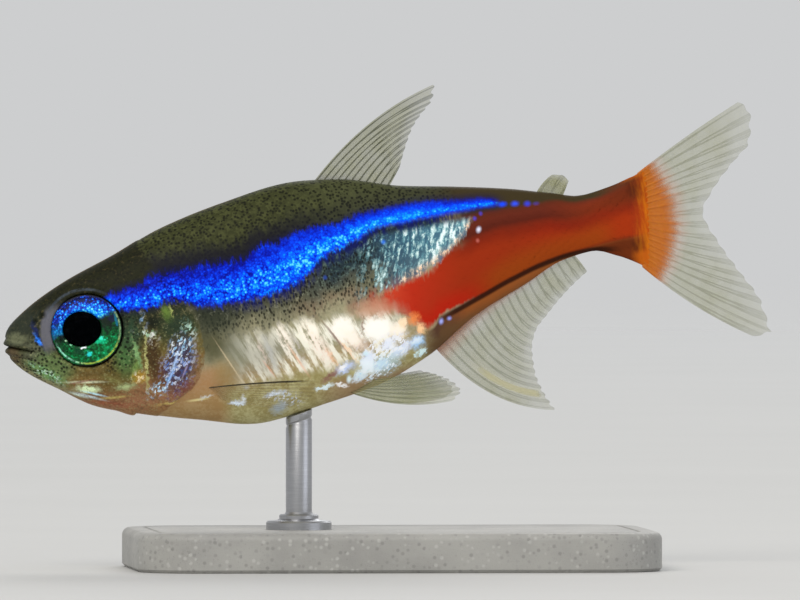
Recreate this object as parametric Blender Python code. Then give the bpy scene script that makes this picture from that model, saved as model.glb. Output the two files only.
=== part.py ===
"""Neon tetra, a still life-size display model held over a small stand.

The fish is drawn in its own frame, in millimetres: s runs back from the snout along the body, h runs up from
the snout's level, and y runs to its right. place() bends that frame sideways, pitches it head down, and sets
it over the stand in metres, with the head toward -X and the left flank toward -Y.
"""

import math
from dataclasses import dataclass

import bmesh
import bpy
from mathutils import Vector

# Driving sizes, millimetres
STANDARD_LENGTH = 30.0
GAP = 0.3
PITCH = math.radians(11.0)
TAIL_SWING = 1.1
SWING_START = 15.0
SNOUT_X = -17.7
SNOUT_Z = 10.35

# Body stations: distance from the snout, back, belly, half width
STATIONS = (
    (0.0, -0.20, -0.20, 0.00),
    (0.06, 0.30, -0.66, 0.42),
    (0.3, 0.68, -1.07, 0.72),
    (0.9, 1.13, -1.70, 1.00),
    (1.9, 1.69, -2.47, 1.27),
    (3.5, 2.35, -3.62, 1.60),
    (5.5, 2.97, -4.40, 1.85),
    (8.0, 3.83, -5.18, 2.05),
    (11.0, 4.42, -5.90, 2.12),
    (14.0, 4.75, -5.58, 2.00),
    (16.5, 4.44, -5.20, 1.72),
    (19.0, 3.66, -4.33, 1.42),
    (21.5, 3.12, -2.93, 1.12),
    (24.0, 2.53, -2.00, 0.84),
    (26.0, 1.93, -1.24, 0.64),
    (27.3, 1.57, -1.12, 0.52),
    (28.5, 1.70, -1.56, 0.43),
    (STANDARD_LENGTH, 2.08, -2.35, 0.34),
)
WIDEST_SHARE = 0.52
BACK_FULLNESS = 0.84
BELLY_FULLNESS = 0.95
CAUDAL_LEAN = 0.14
LEAN_START = 26.0
BODY_COLUMNS = 40
HEAD_ROWS = 28
HEAD_ROWS_END = 9.0
ROW_SPACING = 0.85

# Cuts that part the body, as points in side view
GILL_CUT = ((6.2, 5.2), (7.1, 2.6), (8.2, 0.35), (8.67, -0.6), (8.72, -1.9), (8.2, -3.35), (6.9, -4.2), (4.8, -5.6))
VENT_CUT = ((18.95, 6.0), (18.95, -7.0))
CUT_STEPS = 28
CUT_REACH = 4.0
SHORTEST_EDGE = 0.006

# Mouth, lips and nostrils
MOUTH_FRONT = -0.20
MOUTH_CORNER = (1.18, -0.66)
MOUTH_OPENING = 0.22
MOUTH_CORNER_OPENING = 0.05
LIP_RADIUS = 0.17
LIP_OFFSET = 0.20
LIP_SINK = 0.09
LIP_STEPS = 24
LIP_SIDES = 8
NOSTRILS = ((1.45, 0.72, 0.14), (1.86, 0.93, 0.17))
NOSTRIL_DEPTH = 0.22

# Eyes
EYE_CENTRE = (3.72, -0.12)
EYE_SIDE = 1.28
EYE_RADIUS = 1.62
EYE_BACK = 0.75
EYE_RIM = 0.08
EYE_DOME = 0.50
PUPIL_RADIUS = 0.80
PUPIL_STEP = 0.06
EYE_FORWARD = math.radians(9.0)
EYE_UPWARD = math.radians(6.0)
EYE_SIDES = 28

# Gill covers
COVER_CENTRE = (7.4, -1.95)
COVER_SIZE = (1.12, 1.75)
COVER_SHEAR = 0.2
COVER_SQUARENESS = 2.6
COVER_RISE = 0.06
COVER_THICKNESS = 0.5
COVER_SPOKES = 28
COVER_RINGS = (0.4, 0.75, 0.93, 1.0)

# Fin plates and the rays raised on them
FIN_THICKNESS = 0.5
FIN_TIP_THICKNESS = 0.2
FIN_TAPER_START = 0.7
RAY_RIDGE = 0.12
RAY_FOOT = 0.24
FIN_ROWS = 6


@dataclass(frozen=True)
class MedianFin:
    """A fin on the body's middle plane: its first and last ray's root, its tips and how far its rays bow."""

    rays: int
    root: tuple
    tips: tuple
    front_bow: tuple
    rear_bow: tuple = (0.0, 0.0)


@dataclass(frozen=True)
class PairedFin:
    """A fin with a twin: its first and last ray's root in side view, its tips and how far its rays bow."""

    rays: int
    front_root: tuple
    rear_root: tuple
    tips: tuple
    front_bow: tuple
    rear_bow: tuple


DORSAL = MedianFin(
    rays=11,
    root=(15.2, 18.6),
    tips=((21.56, 7.72), (20.75, 6.6), (19.8, 5.2), (19.35, 4.35)),
    front_bow=(-0.2, 0.55),
    rear_bow=(0.05, 0.05),
)
ADIPOSE = MedianFin(
    rays=3,
    root=(25.2, 26.4),
    tips=((26.15, 2.72), (26.6, 2.62), (26.85, 2.3), (26.75, 2.12)),
    front_bow=(-0.1, 0.12),
)
ANAL = MedianFin(
    rays=15,
    root=(19.3, 26.4),
    tips=((23.95, -7.8), (23.6, -6.8), (23.47, -5.6), (23.75, -4.5), (24.6, -3.6), (25.6, -2.75), (26.9, -1.95)),
    front_bow=(-0.25, -0.75),
    rear_bow=(0.1, -0.1),
)
CAUDAL_UPPER = MedianFin(
    rays=10,
    root=(2.12, 0.10),
    tips=((35.4, 4.33), (35.82, 3.75), (35.5, 2.4), (34.6, 1.65), (33.45, 0.62), (32.8, -0.38)),
    front_bow=(-0.05, 0.15),
)
CAUDAL_LOWER = MedianFin(
    rays=9,
    root=(-2.38, -0.22),
    tips=((34.0, -6.42), (34.82, -6.36), (34.67, -5.0), (33.9, -3.3), (33.3, -2.05), (32.75, -0.72)),
    front_bow=(-0.3, -0.35),
)
PECTORAL = PairedFin(
    rays=10,
    front_root=(8.95, -3.72),
    rear_root=(9.15, -4.35),
    tips=((13.35, 3.75, -4.25), (13.3, 3.4, -4.7), (12.75, 3.0, -5.15), (11.6, 2.45, -5.3)),
    front_bow=(0.0, 0.3, 0.15),
    rear_bow=(0.0, 0.1, -0.1),
)
PELVIC = PairedFin(
    rays=8,
    front_root=(14.9, -5.32),
    rear_root=(15.9, -5.02),
    tips=((19.5, 2.2, -6.45), (19.95, 2.1, -6.1), (19.5, 1.95, -5.45), (18.6, 1.75, -4.95)),
    front_bow=(-0.2, 0.15, -0.55),
    rear_bow=(0.0, 0.1, 0.0),
)

# Stand
BASE_SIZE = (24.0, 15.0, 1.8)
BASE_CORNER = 3.0
BASE_EDGE = 0.35
ROD_STATION = 12.6
ROD_RADIUS = 0.6
ROD_SIDES = 24
COLLAR_RADIUS = 1.5
COLLAR_HEIGHT = 0.5

MM = 0.001


def clear_scene():
    """Removes what the scene holds."""
    for item in list(bpy.data.objects):
        bpy.data.objects.remove(item, do_unlink=True)


def smooth_curve(points):
    """Returns a function through (t, value, value, ...) rows that never overshoots them."""
    ts = [row[0] for row in points]
    count = len(points[0]) - 1

    def slopes(column):
        steps = [(points[i + 1][column] - points[i][column]) / (ts[i + 1] - ts[i]) for i in range(len(ts) - 1)]
        result = [steps[0]]
        for left, right in zip(steps, steps[1:]):
            result.append(2 * left * right / (left + right) if left * right > 0 else 0.0)
        result.append(steps[-1])
        return result

    tangents = [slopes(column) for column in range(1, count + 1)]

    def value(t):
        t = min(max(t, ts[0]), ts[-1])
        i = max(k for k in range(len(ts) - 1) if ts[k] <= t)
        span = ts[i + 1] - ts[i]
        u = (t - ts[i]) / span
        result = []
        for column in range(count):
            a, b = points[i][column + 1], points[i + 1][column + 1]
            ta, tb = tangents[column][i] * span, tangents[column][i + 1] * span
            cubic = (2 * u**3 - 3 * u**2 + 1) * a + (u**3 - 2 * u**2 + u) * ta
            result.append(cubic + (3 * u**2 - 2 * u**3) * b + (u**3 - u**2) * tb)
        return result

    return value


def path_through(points):
    """Returns a function of 0 to 1 along a smooth path through the points, even in length."""
    points = [Vector(p) for p in points]
    lengths = [0.0]
    for a, b in zip(points, points[1:]):
        lengths.append(lengths[-1] + (b - a).length)
    rows = [(length / lengths[-1], *point) for length, point in zip(lengths, points)]
    curve = smooth_curve(rows)
    return lambda t: Vector(curve(t))


# The square root of the distance keeps the snout round
ROUNDED_STATIONS = smooth_curve([(math.sqrt(s), back, belly, half) for s, back, belly, half in STATIONS])


def section(s):
    """Returns the body's back, belly and half width at a distance from the snout."""
    return ROUNDED_STATIONS(math.sqrt(max(s, 0.0)))


def widest_level(back, belly):
    """Returns the level where a section is widest."""
    return belly + WIDEST_SHARE * (back - belly)


def body_point(s, angle):
    """Returns the skin's point at an angle from the back, negative angles on the left side."""
    back, belly, half = section(s)
    level = widest_level(back, belly)
    rise = math.cos(angle)
    h = level + rise * (back - level if rise > 0 else level - belly)
    fullness = BACK_FULLNESS if rise > 0 else BELLY_FULLNESS
    y = math.copysign(half * abs(math.sin(angle)) ** fullness, math.sin(angle))
    lean = CAUDAL_LEAN * h * max(0.0, (s - LEAN_START) / (STANDARD_LENGTH - LEAN_START)) ** 2
    return Vector((s + lean, y, h))


def flank(s, h):
    """Returns how far the skin stands out sideways at a place in side view."""
    back, belly, half = section(s)
    level = widest_level(back, belly)
    rise = (h - level) / ((back - level) if h > level else (level - belly))
    fullness = BACK_FULLNESS if rise > 0 else BELLY_FULLNESS
    return half * math.sqrt(max(0.0, 1.0 - rise * rise)) ** fullness


def flank_normal(s, h, side):
    """Returns the skin's outward direction at a place in side view."""
    step = 0.05
    along = (flank(s + step, h) - flank(s - step, h)) / (2 * step)
    up = (flank(s, h + step) - flank(s, h - step)) / (2 * step)
    return Vector((-along, side, -up)).normalized()


def on_flank(s, h, side, lift=0.0):
    """Returns the skin's point at a place in side view, lifted along its outward direction."""
    return Vector((s, side * flank(s, h), h)) + lift * flank_normal(s, h, side)


def place(point):
    """Carries a point from the fish's frame to the world, in metres."""
    s, y, h = point
    swing = TAIL_SWING * (max(0.0, s - SWING_START) / (STANDARD_LENGTH - SWING_START)) ** 2
    x = SNOUT_X + s * math.cos(PITCH) - h * math.sin(PITCH)
    z = SNOUT_Z + s * math.sin(PITCH) + h * math.cos(PITCH)
    return Vector((x, y + swing, z)) * MM


def make_material(name, colour, roughness=0.4, metallic=0.0):
    """Returns a plain finish."""
    material = bpy.data.materials.new(name)
    material.use_nodes = True
    shader = material.node_tree.nodes["Principled BSDF"]
    shader.inputs["Base Color"].default_value = (*colour, 1.0)
    shader.inputs["Roughness"].default_value = roughness
    shader.inputs["Metallic"].default_value = metallic
    return material


def add_mesh(name, points, faces, material=None):
    """Adds a mesh object from world points in metres."""
    mesh = bpy.data.meshes.new(name)
    mesh.from_pydata([tuple(p) for p in points], [], faces)
    mesh.validate()
    bm = bmesh.new()
    bm.from_mesh(mesh)
    bmesh.ops.triangulate(bm, faces=bm.faces)
    bmesh.ops.recalc_face_normals(bm, faces=bm.faces)
    bm.to_mesh(mesh)
    bm.free()
    mesh.shade_smooth()
    mesh.set_sharp_from_angle(angle=math.radians(40))
    item = bpy.data.objects.new(name, mesh)
    if material:
        mesh.materials.append(material)
    bpy.context.scene.collection.objects.link(item)
    return item


def settle(item):
    """Replaces an object's mesh by what its modifiers make of it."""
    graph = bpy.context.evaluated_depsgraph_get()
    mesh = bpy.data.meshes.new_from_object(item.evaluated_get(graph))
    item.modifiers.clear()
    item.data = mesh


def combine(item, pieces, operation):
    """Joins pieces to an object, or cuts them from it, and removes them."""
    group = bpy.data.collections.new("pieces")
    for piece in pieces:
        group.objects.link(piece)
    modifier = item.modifiers.new(operation.title(), "BOOLEAN")
    modifier.operation = operation
    modifier.operand_type = "COLLECTION"
    modifier.collection = group
    modifier.solver = "EXACT"
    settle(item)
    for piece in pieces:
        bpy.data.objects.remove(piece, do_unlink=True)
    bpy.data.collections.remove(group)


def islands(mesh):
    """Returns a mesh's closed surfaces, largest first, each as (points, faces)."""
    bm = bmesh.new()
    bm.from_mesh(mesh)
    bmesh.ops.triangulate(bm, faces=bm.faces)
    bmesh.ops.collapse(bm, edges=[edge for edge in bm.edges if edge.calc_length() < SHORTEST_EDGE * MM])
    unseen = set(bm.faces)
    found = []
    while unseen:
        front = [unseen.pop()]
        group = []
        while front:
            face = front.pop()
            group.append(face)
            for edge in face.edges:
                for other in edge.link_faces:
                    if other in unseen:
                        unseen.remove(other)
                        front.append(other)
        order = {}
        for face in group:
            for vert in face.verts:
                order.setdefault(vert, len(order))
        points = [vert.co.copy() for vert in order]
        found.append((points, [tuple(order[vert] for vert in face.verts) for face in group]))
    bm.free()
    return sorted(found, key=lambda island: len(island[1]), reverse=True)


def ladder_cap(ring):
    """Returns faces that close a ring whose two sides mirror each other, from its top point down."""
    count = len(ring)
    faces = [(ring[0], ring[1], ring[-1])]
    for i in range(1, count // 2 - 1):
        faces.append((ring[i], ring[i + 1], ring[count - i - 1], ring[count - i]))
    faces.append((ring[count // 2 - 1], ring[count // 2], ring[count // 2 + 1]))
    return faces


def loft_body():
    """Makes the whole body from the snout to the end of the tail's flesh."""
    reach = math.sqrt(HEAD_ROWS_END)
    rows = [(reach * (k + 1) / HEAD_ROWS) ** 2 for k in range(HEAD_ROWS)]
    rear = math.ceil((STANDARD_LENGTH - HEAD_ROWS_END) / ROW_SPACING)
    rows += [HEAD_ROWS_END + (STANDARD_LENGTH - HEAD_ROWS_END) * (k + 1) / rear for k in range(rear)]
    points = [place((0.0, 0.0, section(0.0)[0]))]
    for s in rows:
        points += [place(body_point(s, math.tau * k / BODY_COLUMNS)) for k in range(BODY_COLUMNS)]
    faces = [(0, 1 + k, 1 + (k + 1) % BODY_COLUMNS) for k in range(BODY_COLUMNS)]
    for row in range(len(rows) - 1):
        start = 1 + row * BODY_COLUMNS
        for k in range(BODY_COLUMNS):
            after = (k + 1) % BODY_COLUMNS
            faces.append((start + k, start + BODY_COLUMNS + k, start + BODY_COLUMNS + after, start + after))
    last = 1 + (len(rows) - 1) * BODY_COLUMNS
    faces += ladder_cap(list(range(last, last + BODY_COLUMNS)))
    return add_mesh("body", points, faces)


def sheet(name, outline, thickness):
    """Makes a thin upright sheet along a path in side view, wide enough to part the body."""
    path = path_through(outline)
    middle = [path(k / CUT_STEPS) for k in range(CUT_STEPS + 1)]
    points = []
    for k, point in enumerate(middle):
        run = (middle[min(k + 1, CUT_STEPS)] - middle[max(k - 1, 0)]).normalized()
        across = Vector((-run.y, run.x)) * thickness / 2
        for y in (-CUT_REACH, CUT_REACH):
            for way in (-1, 1):
                edge = point + way * across
                points.append(place((edge.x, y, edge.y)))
    faces = [(0, 1, 3, 2)]
    for k in range(CUT_STEPS):
        a, b = 4 * k, 4 * k + 4
        for p, q in ((0, 1), (1, 3), (3, 2), (2, 0)):
            faces.append((a + p, b + p, b + q, a + q))
    end = 4 * CUT_STEPS
    faces.append((end, end + 2, end + 3, end + 1))
    return add_mesh(name, points, faces)


def tube(name, path, radius, sides):
    """Makes a closed round tube along points in the fish's frame."""
    points, faces = [], []
    for k, centre in enumerate(path):
        run = (path[min(k + 1, len(path) - 1)] - path[max(k - 1, 0)]).normalized()
        up = Vector((0, 0, 1)) - run * run.z
        up.normalize()
        out = run.cross(up)
        for j in range(sides):
            turn = math.tau * j / sides
            points.append(place(centre + radius * (math.cos(turn) * up + math.sin(turn) * out)))
    for k in range(len(path) - 1):
        for j in range(sides):
            after = (j + 1) % sides
            faces.append((k * sides + j, (k + 1) * sides + j, (k + 1) * sides + after, k * sides + after))
    faces.append(tuple(range(sides)))
    faces.append(tuple(range((len(path) - 1) * sides, len(path) * sides)))
    return add_mesh(name, points, faces)


def turned(name, profile, sides, centre, axis, carry=place, material=None):
    """Makes a solid turned round an axis from (radius, distance along the axis) pairs that end on the axis."""
    axis = axis.normalized()
    first = axis.cross(Vector((0, 0, 1))) if abs(axis.z) < 0.9 else axis.cross(Vector((1, 0, 0)))
    first.normalize()
    second = axis.cross(first)
    points = [carry(centre + axis * profile[0][1])]
    for radius, reach in profile[1:-1]:
        for j in range(sides):
            turn = math.tau * j / sides
            points.append(carry(centre + axis * reach + radius * (math.cos(turn) * first + math.sin(turn) * second)))
    points.append(carry(centre + axis * profile[-1][1]))
    rings = len(profile) - 2
    faces = [(0, 1 + (j + 1) % sides, 1 + j) for j in range(sides)]
    for k in range(rings - 1):
        a, b = 1 + k * sides, 1 + (k + 1) * sides
        for j in range(sides):
            after = (j + 1) % sides
            faces.append((a + j, a + after, b + after, b + j))
    last = 1 + (rings - 1) * sides
    faces += [(last + j, last + (j + 1) % sides, len(points) - 1) for j in range(sides)]
    return add_mesh(name, points, faces, material)


def mouth_level(s):
    """Returns the level of the mouth's line at a distance from the snout."""
    return MOUTH_FRONT + (MOUTH_CORNER[1] - MOUTH_FRONT) * s / MOUTH_CORNER[0]


def front_at(h):
    """Returns the distance from the snout where the skin first reaches a level."""
    low, high = 0.0, 1.0
    for _ in range(40):
        middle = (low + high) / 2
        back, belly, _half = section(middle)
        low, high = (low, middle) if belly < h < back else (middle, high)
    return high


def lip(name, offset):
    """Makes one lip as a bead along the mouth's line, from corner to corner round the snout."""
    start = front_at(mouth_level(0.0) + offset)
    path = []
    for k in range(-LIP_STEPS, LIP_STEPS + 1):
        share = k / LIP_STEPS
        s = start + (MOUTH_CORNER[0] - start) * share * share
        h = mouth_level(s) + offset * (1.0 - 0.5 * share * share)
        path.append(Vector((s + LIP_SINK, math.copysign(flank(s, h), share) if k else 0.0, h)))
    return tube(name, path, LIP_RADIUS, LIP_SIDES)


def mouth_wedge():
    """Makes the slot between the lips, narrowing to the corners."""
    outline = (
        (-1.0, mouth_level(-1.0) + MOUTH_OPENING / 2),
        (-1.0, mouth_level(-1.0) - MOUTH_OPENING / 2),
        (MOUTH_CORNER[0], MOUTH_CORNER[1] - MOUTH_CORNER_OPENING / 2),
        (MOUTH_CORNER[0], MOUTH_CORNER[1] + MOUTH_CORNER_OPENING / 2),
    )
    points = [place((s, y, h)) for y in (-CUT_REACH, CUT_REACH) for s, h in outline]
    faces = [(0, 1, 2, 3), (7, 6, 5, 4)]
    faces += [(k, 4 + k, 4 + (k + 1) % 4, (k + 1) % 4) for k in range(4)]
    return add_mesh("mouth wedge", points, faces)


def nostril(s, h, radius, side):
    """Makes the cutter of one nostril."""
    profile = [(0.0, -NOSTRIL_DEPTH), (radius * 0.7, -NOSTRIL_DEPTH), (radius, 0.0), (radius * 1.3, 0.3), (0.0, 0.3)]
    return turned("nostril", profile, 10, on_flank(s, h, side), flank_normal(s, h, side))


def eye_axis(side):
    """Returns the direction that an eye looks in."""
    return Vector((-math.sin(EYE_FORWARD), side * math.cos(EYE_FORWARD), math.sin(EYE_UPWARD)))


def eye(name, side, material):
    """Makes an eye: a shallow cup behind, a domed front and a raised pupil."""
    profile = [(0.0, -EYE_BACK), (0.55 * EYE_RADIUS, -EYE_BACK), (0.85 * EYE_RADIUS, -0.65 * EYE_BACK)]
    profile += [(0.98 * EYE_RADIUS, -0.12), (EYE_RADIUS, EYE_RIM)]
    for share in (0.93, 0.8, 0.65, PUPIL_RADIUS / EYE_RADIUS + 0.03):
        profile.append((share * EYE_RADIUS, EYE_RIM + (EYE_DOME - EYE_RIM) * math.sqrt(1 - share * share)))
    dome = EYE_RIM + (EYE_DOME - EYE_RIM) * math.sqrt(1 - (PUPIL_RADIUS / EYE_RADIUS) ** 2)
    profile += [(PUPIL_RADIUS, dome + PUPIL_STEP), (0.5 * PUPIL_RADIUS, EYE_DOME + PUPIL_STEP * 0.9)]
    profile.append((0.0, EYE_DOME + PUPIL_STEP))
    centre = Vector((EYE_CENTRE[0], side * EYE_SIDE, EYE_CENTRE[1]))
    return turned(name, profile, EYE_SIDES, centre, eye_axis(side), material=material)


def eye_socket(side):
    """Makes the cutter of an eye's socket, clear of the eye all round."""
    rim = EYE_RADIUS + GAP
    profile = [(0.0, -EYE_BACK - GAP), (0.58 * rim, -EYE_BACK - GAP), (0.88 * rim, -0.75 * EYE_BACK - GAP * 0.6)]
    profile += [(rim, -0.15), (rim, 2.0), (0.0, 2.0)]
    centre = Vector((EYE_CENTRE[0], side * EYE_SIDE, EYE_CENTRE[1]))
    return turned("socket", profile, EYE_SIDES, centre, eye_axis(side))


def cover_outline(turn, grow, share=1.0):
    """Returns a place in side view on the gill cover's outline, grown outward."""
    power = 2.0 / COVER_SQUARENESS
    across = math.copysign(abs(math.cos(turn)) ** power, math.cos(turn)) * (COVER_SIZE[0] + grow) * share
    up = math.copysign(abs(math.sin(turn)) ** power, math.sin(turn)) * (COVER_SIZE[1] + grow) * share
    return COVER_CENTRE[0] + across + COVER_SHEAR * up, COVER_CENTRE[1] + up


def cover_plate(name, side, grow, inner, outer, material=None):
    """Makes a plate that follows the cheek between two depths, with the gill cover's outline."""
    points = []
    for lift in (outer, inner):
        points.append(place(on_flank(*COVER_CENTRE, side, lift)))
        for share in COVER_RINGS:
            for k in range(COVER_SPOKES):
                s, h = cover_outline(math.tau * k / COVER_SPOKES, grow, share)
                edge_fall = 0.5 * COVER_RISE if share == 1.0 and lift > 0 and not grow else 0.0
                points.append(place(on_flank(s, h, side, lift - edge_fall)))
    layer = 1 + len(COVER_RINGS) * COVER_SPOKES
    faces = []
    for start in (0, layer):
        faces += [(start, start + 1 + k, start + 1 + (k + 1) % COVER_SPOKES) for k in range(COVER_SPOKES)]
        for ring in range(len(COVER_RINGS) - 1):
            a = start + 1 + ring * COVER_SPOKES
            b = a + COVER_SPOKES
            for k in range(COVER_SPOKES):
                after = (k + 1) % COVER_SPOKES
                faces.append((a + k, b + k, b + after, a + after))
    rim = layer - COVER_SPOKES
    for k in range(COVER_SPOKES):
        after = (k + 1) % COVER_SPOKES
        faces.append((rim + k, rim + after, layer + rim + after, layer + rim + k))
    return add_mesh(name, points, faces, material)


def fin_columns(rays):
    """Returns (share across the fin, is a crest) for each line of a fin with raised rays."""
    pitch = 1.0 / (rays - 1)
    columns = []
    for ray in range(rays):
        middle = ray * pitch
        if ray > 0:
            columns.append((middle - RAY_FOOT * pitch, False))
        columns.append((middle, True))
        if ray < rays - 1:
            columns.append((middle + RAY_FOOT * pitch, False))
    return columns


def fin_plate(name, rays, root, tip, bow, material):
    """Makes a thin fin whose rays stand up from both faces, split into triangles alike on both.

    root, tip and bow give, for a share across the fin, a ray's two ends and how far its middle is pushed.
    """
    columns = fin_columns(rays)
    grid = []
    for share, _crest in columns:
        start, end = root(share), tip(share)
        middle = (start + end) / 2 + bow(share)
        line = []
        for row in range(FIN_ROWS + 1):
            t = row / FIN_ROWS
            line.append((1 - t) ** 2 * start + 2 * t * (1 - t) * middle + t * t * end)
        grid.append(line)
    count, rows = len(columns), FIN_ROWS + 1
    points = []
    for way in (-1, 1):
        for i, (_share, crest) in enumerate(columns):
            for row in range(rows):
                along = grid[i][min(row + 1, FIN_ROWS)] - grid[i][max(row - 1, 0)]
                across = grid[min(i + 1, count - 1)][row] - grid[max(i - 1, 0)][row]
                normal = along.cross(across).normalized()
                t = row / FIN_ROWS
                fade = min(1.0, (1.0 - t) / (1.0 - FIN_TAPER_START))
                half = (FIN_TIP_THICKNESS + (FIN_THICKNESS - FIN_TIP_THICKNESS) * fade) / 2
                if crest:
                    half += RAY_RIDGE * fade
                points.append(place(grid[i][row] + way * half * normal))
    layer = count * rows
    faces = []
    for i in range(count - 1):
        for row in range(FIN_ROWS):
            a, b = i * rows + row, i * rows + row + 1
            c, d = (i + 1) * rows + row + 1, (i + 1) * rows + row
            faces += [(a, b, c), (a, c, d), (layer + a, layer + c, layer + b), (layer + a, layer + d, layer + c)]
    edge = [i * rows for i in range(count)]
    edge += [(count - 1) * rows + row for row in range(1, rows)]
    edge += [i * rows + FIN_ROWS for i in range(count - 2, -1, -1)]
    edge += [row for row in range(FIN_ROWS - 1, 0, -1)]
    for a, b in zip(edge, edge[1:] + edge[:1]):
        faces += [(a, b, layer + b), (a, layer + b, layer + a)]
    return add_mesh(name, points, faces, material)


def mixed(start, end):
    """Returns a function that goes evenly from one value to another over 0 to 1."""
    return lambda share: start + (end - start) * share


def median_fin(name, fin, root, material):
    """Makes a fin that stands on the body's middle plane."""
    tips = path_through([(s, 0.0, h) for s, h in fin.tips])
    front, rear = (Vector((s, 0.0, h)) for s, h in (fin.front_bow, fin.rear_bow))
    fin_plate(name, fin.rays, lambda share: root(mixed(*fin.root)(share)), tips, mixed(front, rear), material)


def on_back(s):
    """Returns the place just clear of the back at a distance from the snout."""
    return Vector((s, 0.0, section(s)[0] + GAP))


def on_belly(s):
    """Returns the place just clear of the belly at a distance from the snout."""
    return Vector((s, 0.0, section(s)[1] - GAP))


def on_tail_end(h):
    """Returns the place just clear of the end of the tail's flesh at a level."""
    return Vector((STANDARD_LENGTH + CAUDAL_LEAN * h + GAP, 0.0, h))


def paired_fin(name, fin, side, material):
    """Makes a fin that stands out from one flank."""
    def mirrored(s, y, h):
        return Vector((s, side * y, h))

    clear = GAP + FIN_THICKNESS / 2
    root = mixed(on_flank(*fin.front_root, side, clear), on_flank(*fin.rear_root, side, clear))
    tips = path_through([mirrored(*tip) for tip in fin.tips])
    bow = mixed(mirrored(*fin.front_bow), mirrored(*fin.rear_bow))
    fin_plate(name, fin.rays, root, tips, bow, material)


def head_and_body(colours):
    """Makes the whole body, gives the head its mouth, sockets and recesses, and parts it into nodes."""
    body = loft_body()
    combine(body, [lip("upper lip", LIP_OFFSET), lip("lower lip", -LIP_OFFSET)], "UNION")
    features = [mouth_wedge()]
    for side in (-1, 1):
        features.append(eye_socket(side))
        features += [nostril(s, h, radius, side) for s, h, radius in NOSTRILS]
    combine(body, features, "DIFFERENCE")
    recesses = [cover_plate("recess", side, GAP, -COVER_THICKNESS - GAP, 1.0) for side in (-1, 1)]
    combine(body, recesses, "DIFFERENCE")
    combine(body, [sheet("gill cut", GILL_CUT, GAP), sheet("vent cut", VENT_CUT, GAP)], "DIFFERENCE")
    pieces = islands(body.data)[:3]
    pieces.sort(key=lambda island: sum(point.x for point in island[0]) / len(island[0]))
    for name, (points, faces) in zip(("head", "trunk", "tail"), pieces):
        add_mesh(name, points, faces, colours[name])
    bpy.data.objects.remove(body, do_unlink=True)


def stand(colours):
    """Makes the flat base and the rod that reaches up to the belly."""
    length, width, height = BASE_SIZE
    bpy.ops.mesh.primitive_cube_add(size=1.0, location=(0.0, 0.0, height / 2 * MM))
    base = bpy.context.object
    base.name = "stand_base"
    base.data.name = "stand_base"
    for vert in base.data.vertices:
        vert.co = Vector((vert.co.x * length, vert.co.y * width, vert.co.z * height)) * MM
    bm = bmesh.new()
    bm.from_mesh(base.data)
    uprights = [edge for edge in bm.edges if abs(edge.verts[0].co.z - edge.verts[1].co.z) > 0.5 * height * MM]
    bmesh.ops.bevel(bm, geom=uprights, offset=BASE_CORNER * MM, segments=8, profile=0.5, affect="EDGES")
    top = [e for e in bm.edges if all(v.co.z > 0.49 * height * MM for v in e.verts) and e.calc_face_angle(0) > 1.0]
    bmesh.ops.bevel(bm, geom=top, offset=BASE_EDGE * MM, segments=3, profile=0.5, affect="EDGES")
    bm.to_mesh(base.data)
    bm.free()
    base.data.shade_smooth()
    base.data.set_sharp_from_angle(angle=math.radians(40))
    base.data.materials.append(colours["base"])

    belly = section(ROD_STATION)[1]
    foot = place((ROD_STATION, 0.0, belly)) / MM
    ahead = place((ROD_STATION + 1.0, 0.0, section(ROD_STATION + 1.0)[1])) / MM
    slope = (ahead.z - foot.z) / (ahead.x - foot.x)
    bottom = height + GAP

    def carry(point):
        """Tilts the rod's top to lie along the belly."""
        if point.z > bottom + COLLAR_HEIGHT + 1.0:
            point = Vector((point.x, point.y, point.z + slope * (point.x - foot.x)))
        return point * MM

    top = foot.z - GAP
    profile = [(0.0, bottom), (COLLAR_RADIUS, bottom), (COLLAR_RADIUS, bottom + 0.6 * COLLAR_HEIGHT)]
    profile += [(0.75 * COLLAR_RADIUS, bottom + COLLAR_HEIGHT), (ROD_RADIUS, bottom + COLLAR_HEIGHT)]
    profile += [(ROD_RADIUS, top), (0.0, top)]
    turned("stand_rod", profile, ROD_SIDES, Vector((foot.x, 0.0, 0.0)), Vector((0, 0, 1)), carry, colours["rod"])


def main():
    """Makes every node."""
    clear_scene()
    colours = {
        "head": make_material("head", (0.16, 0.15, 0.09)),
        "trunk": make_material("trunk", (0.05, 0.12, 0.42), 0.3),
        "tail": make_material("tail", (0.45, 0.05, 0.02)),
        "cover": make_material("gill cover", (0.36, 0.36, 0.24), 0.3),
        "eye": make_material("eye", (0.02, 0.06, 0.12), 0.1),
        "fin": make_material("fin", (0.55, 0.56, 0.45), 0.4),
        "base": make_material("stand base", (0.55, 0.55, 0.53), 0.5),
        "rod": make_material("stand rod", (0.6, 0.6, 0.6), 0.3, 1.0),
    }
    head_and_body(colours)
    for side, word in ((-1, "left"), (1, "right")):
        eye(f"eye_{word}", side, colours["eye"])
        cover_plate(f"gill_cover_{word}", side, 0.0, -COVER_THICKNESS, COVER_RISE, colours["cover"])
    for name, fin, root in (
        ("fin_dorsal", DORSAL, on_back),
        ("fin_adipose", ADIPOSE, on_back),
        ("fin_anal", ANAL, on_belly),
        ("fin_caudal_upper", CAUDAL_UPPER, on_tail_end),
        ("fin_caudal_lower", CAUDAL_LOWER, on_tail_end),
    ):
        median_fin(name, fin, root, colours["fin"])
    for side, word in ((-1, "left"), (1, "right")):
        paired_fin(f"fin_pectoral_{word}", PECTORAL, side, colours["fin"])
        paired_fin(f"fin_pelvic_{word}", PELVIC, side, colours["fin"])
    stand(colours)


main()
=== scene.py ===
"""Neon tetra display model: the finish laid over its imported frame.

Sizes are millimetres in the fish's own frame unless a name says otherwise: s runs back from the snout, y to the
fish's right and h up from the snout's level. FishForm carries that frame into the world, in metres.
"""

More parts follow.
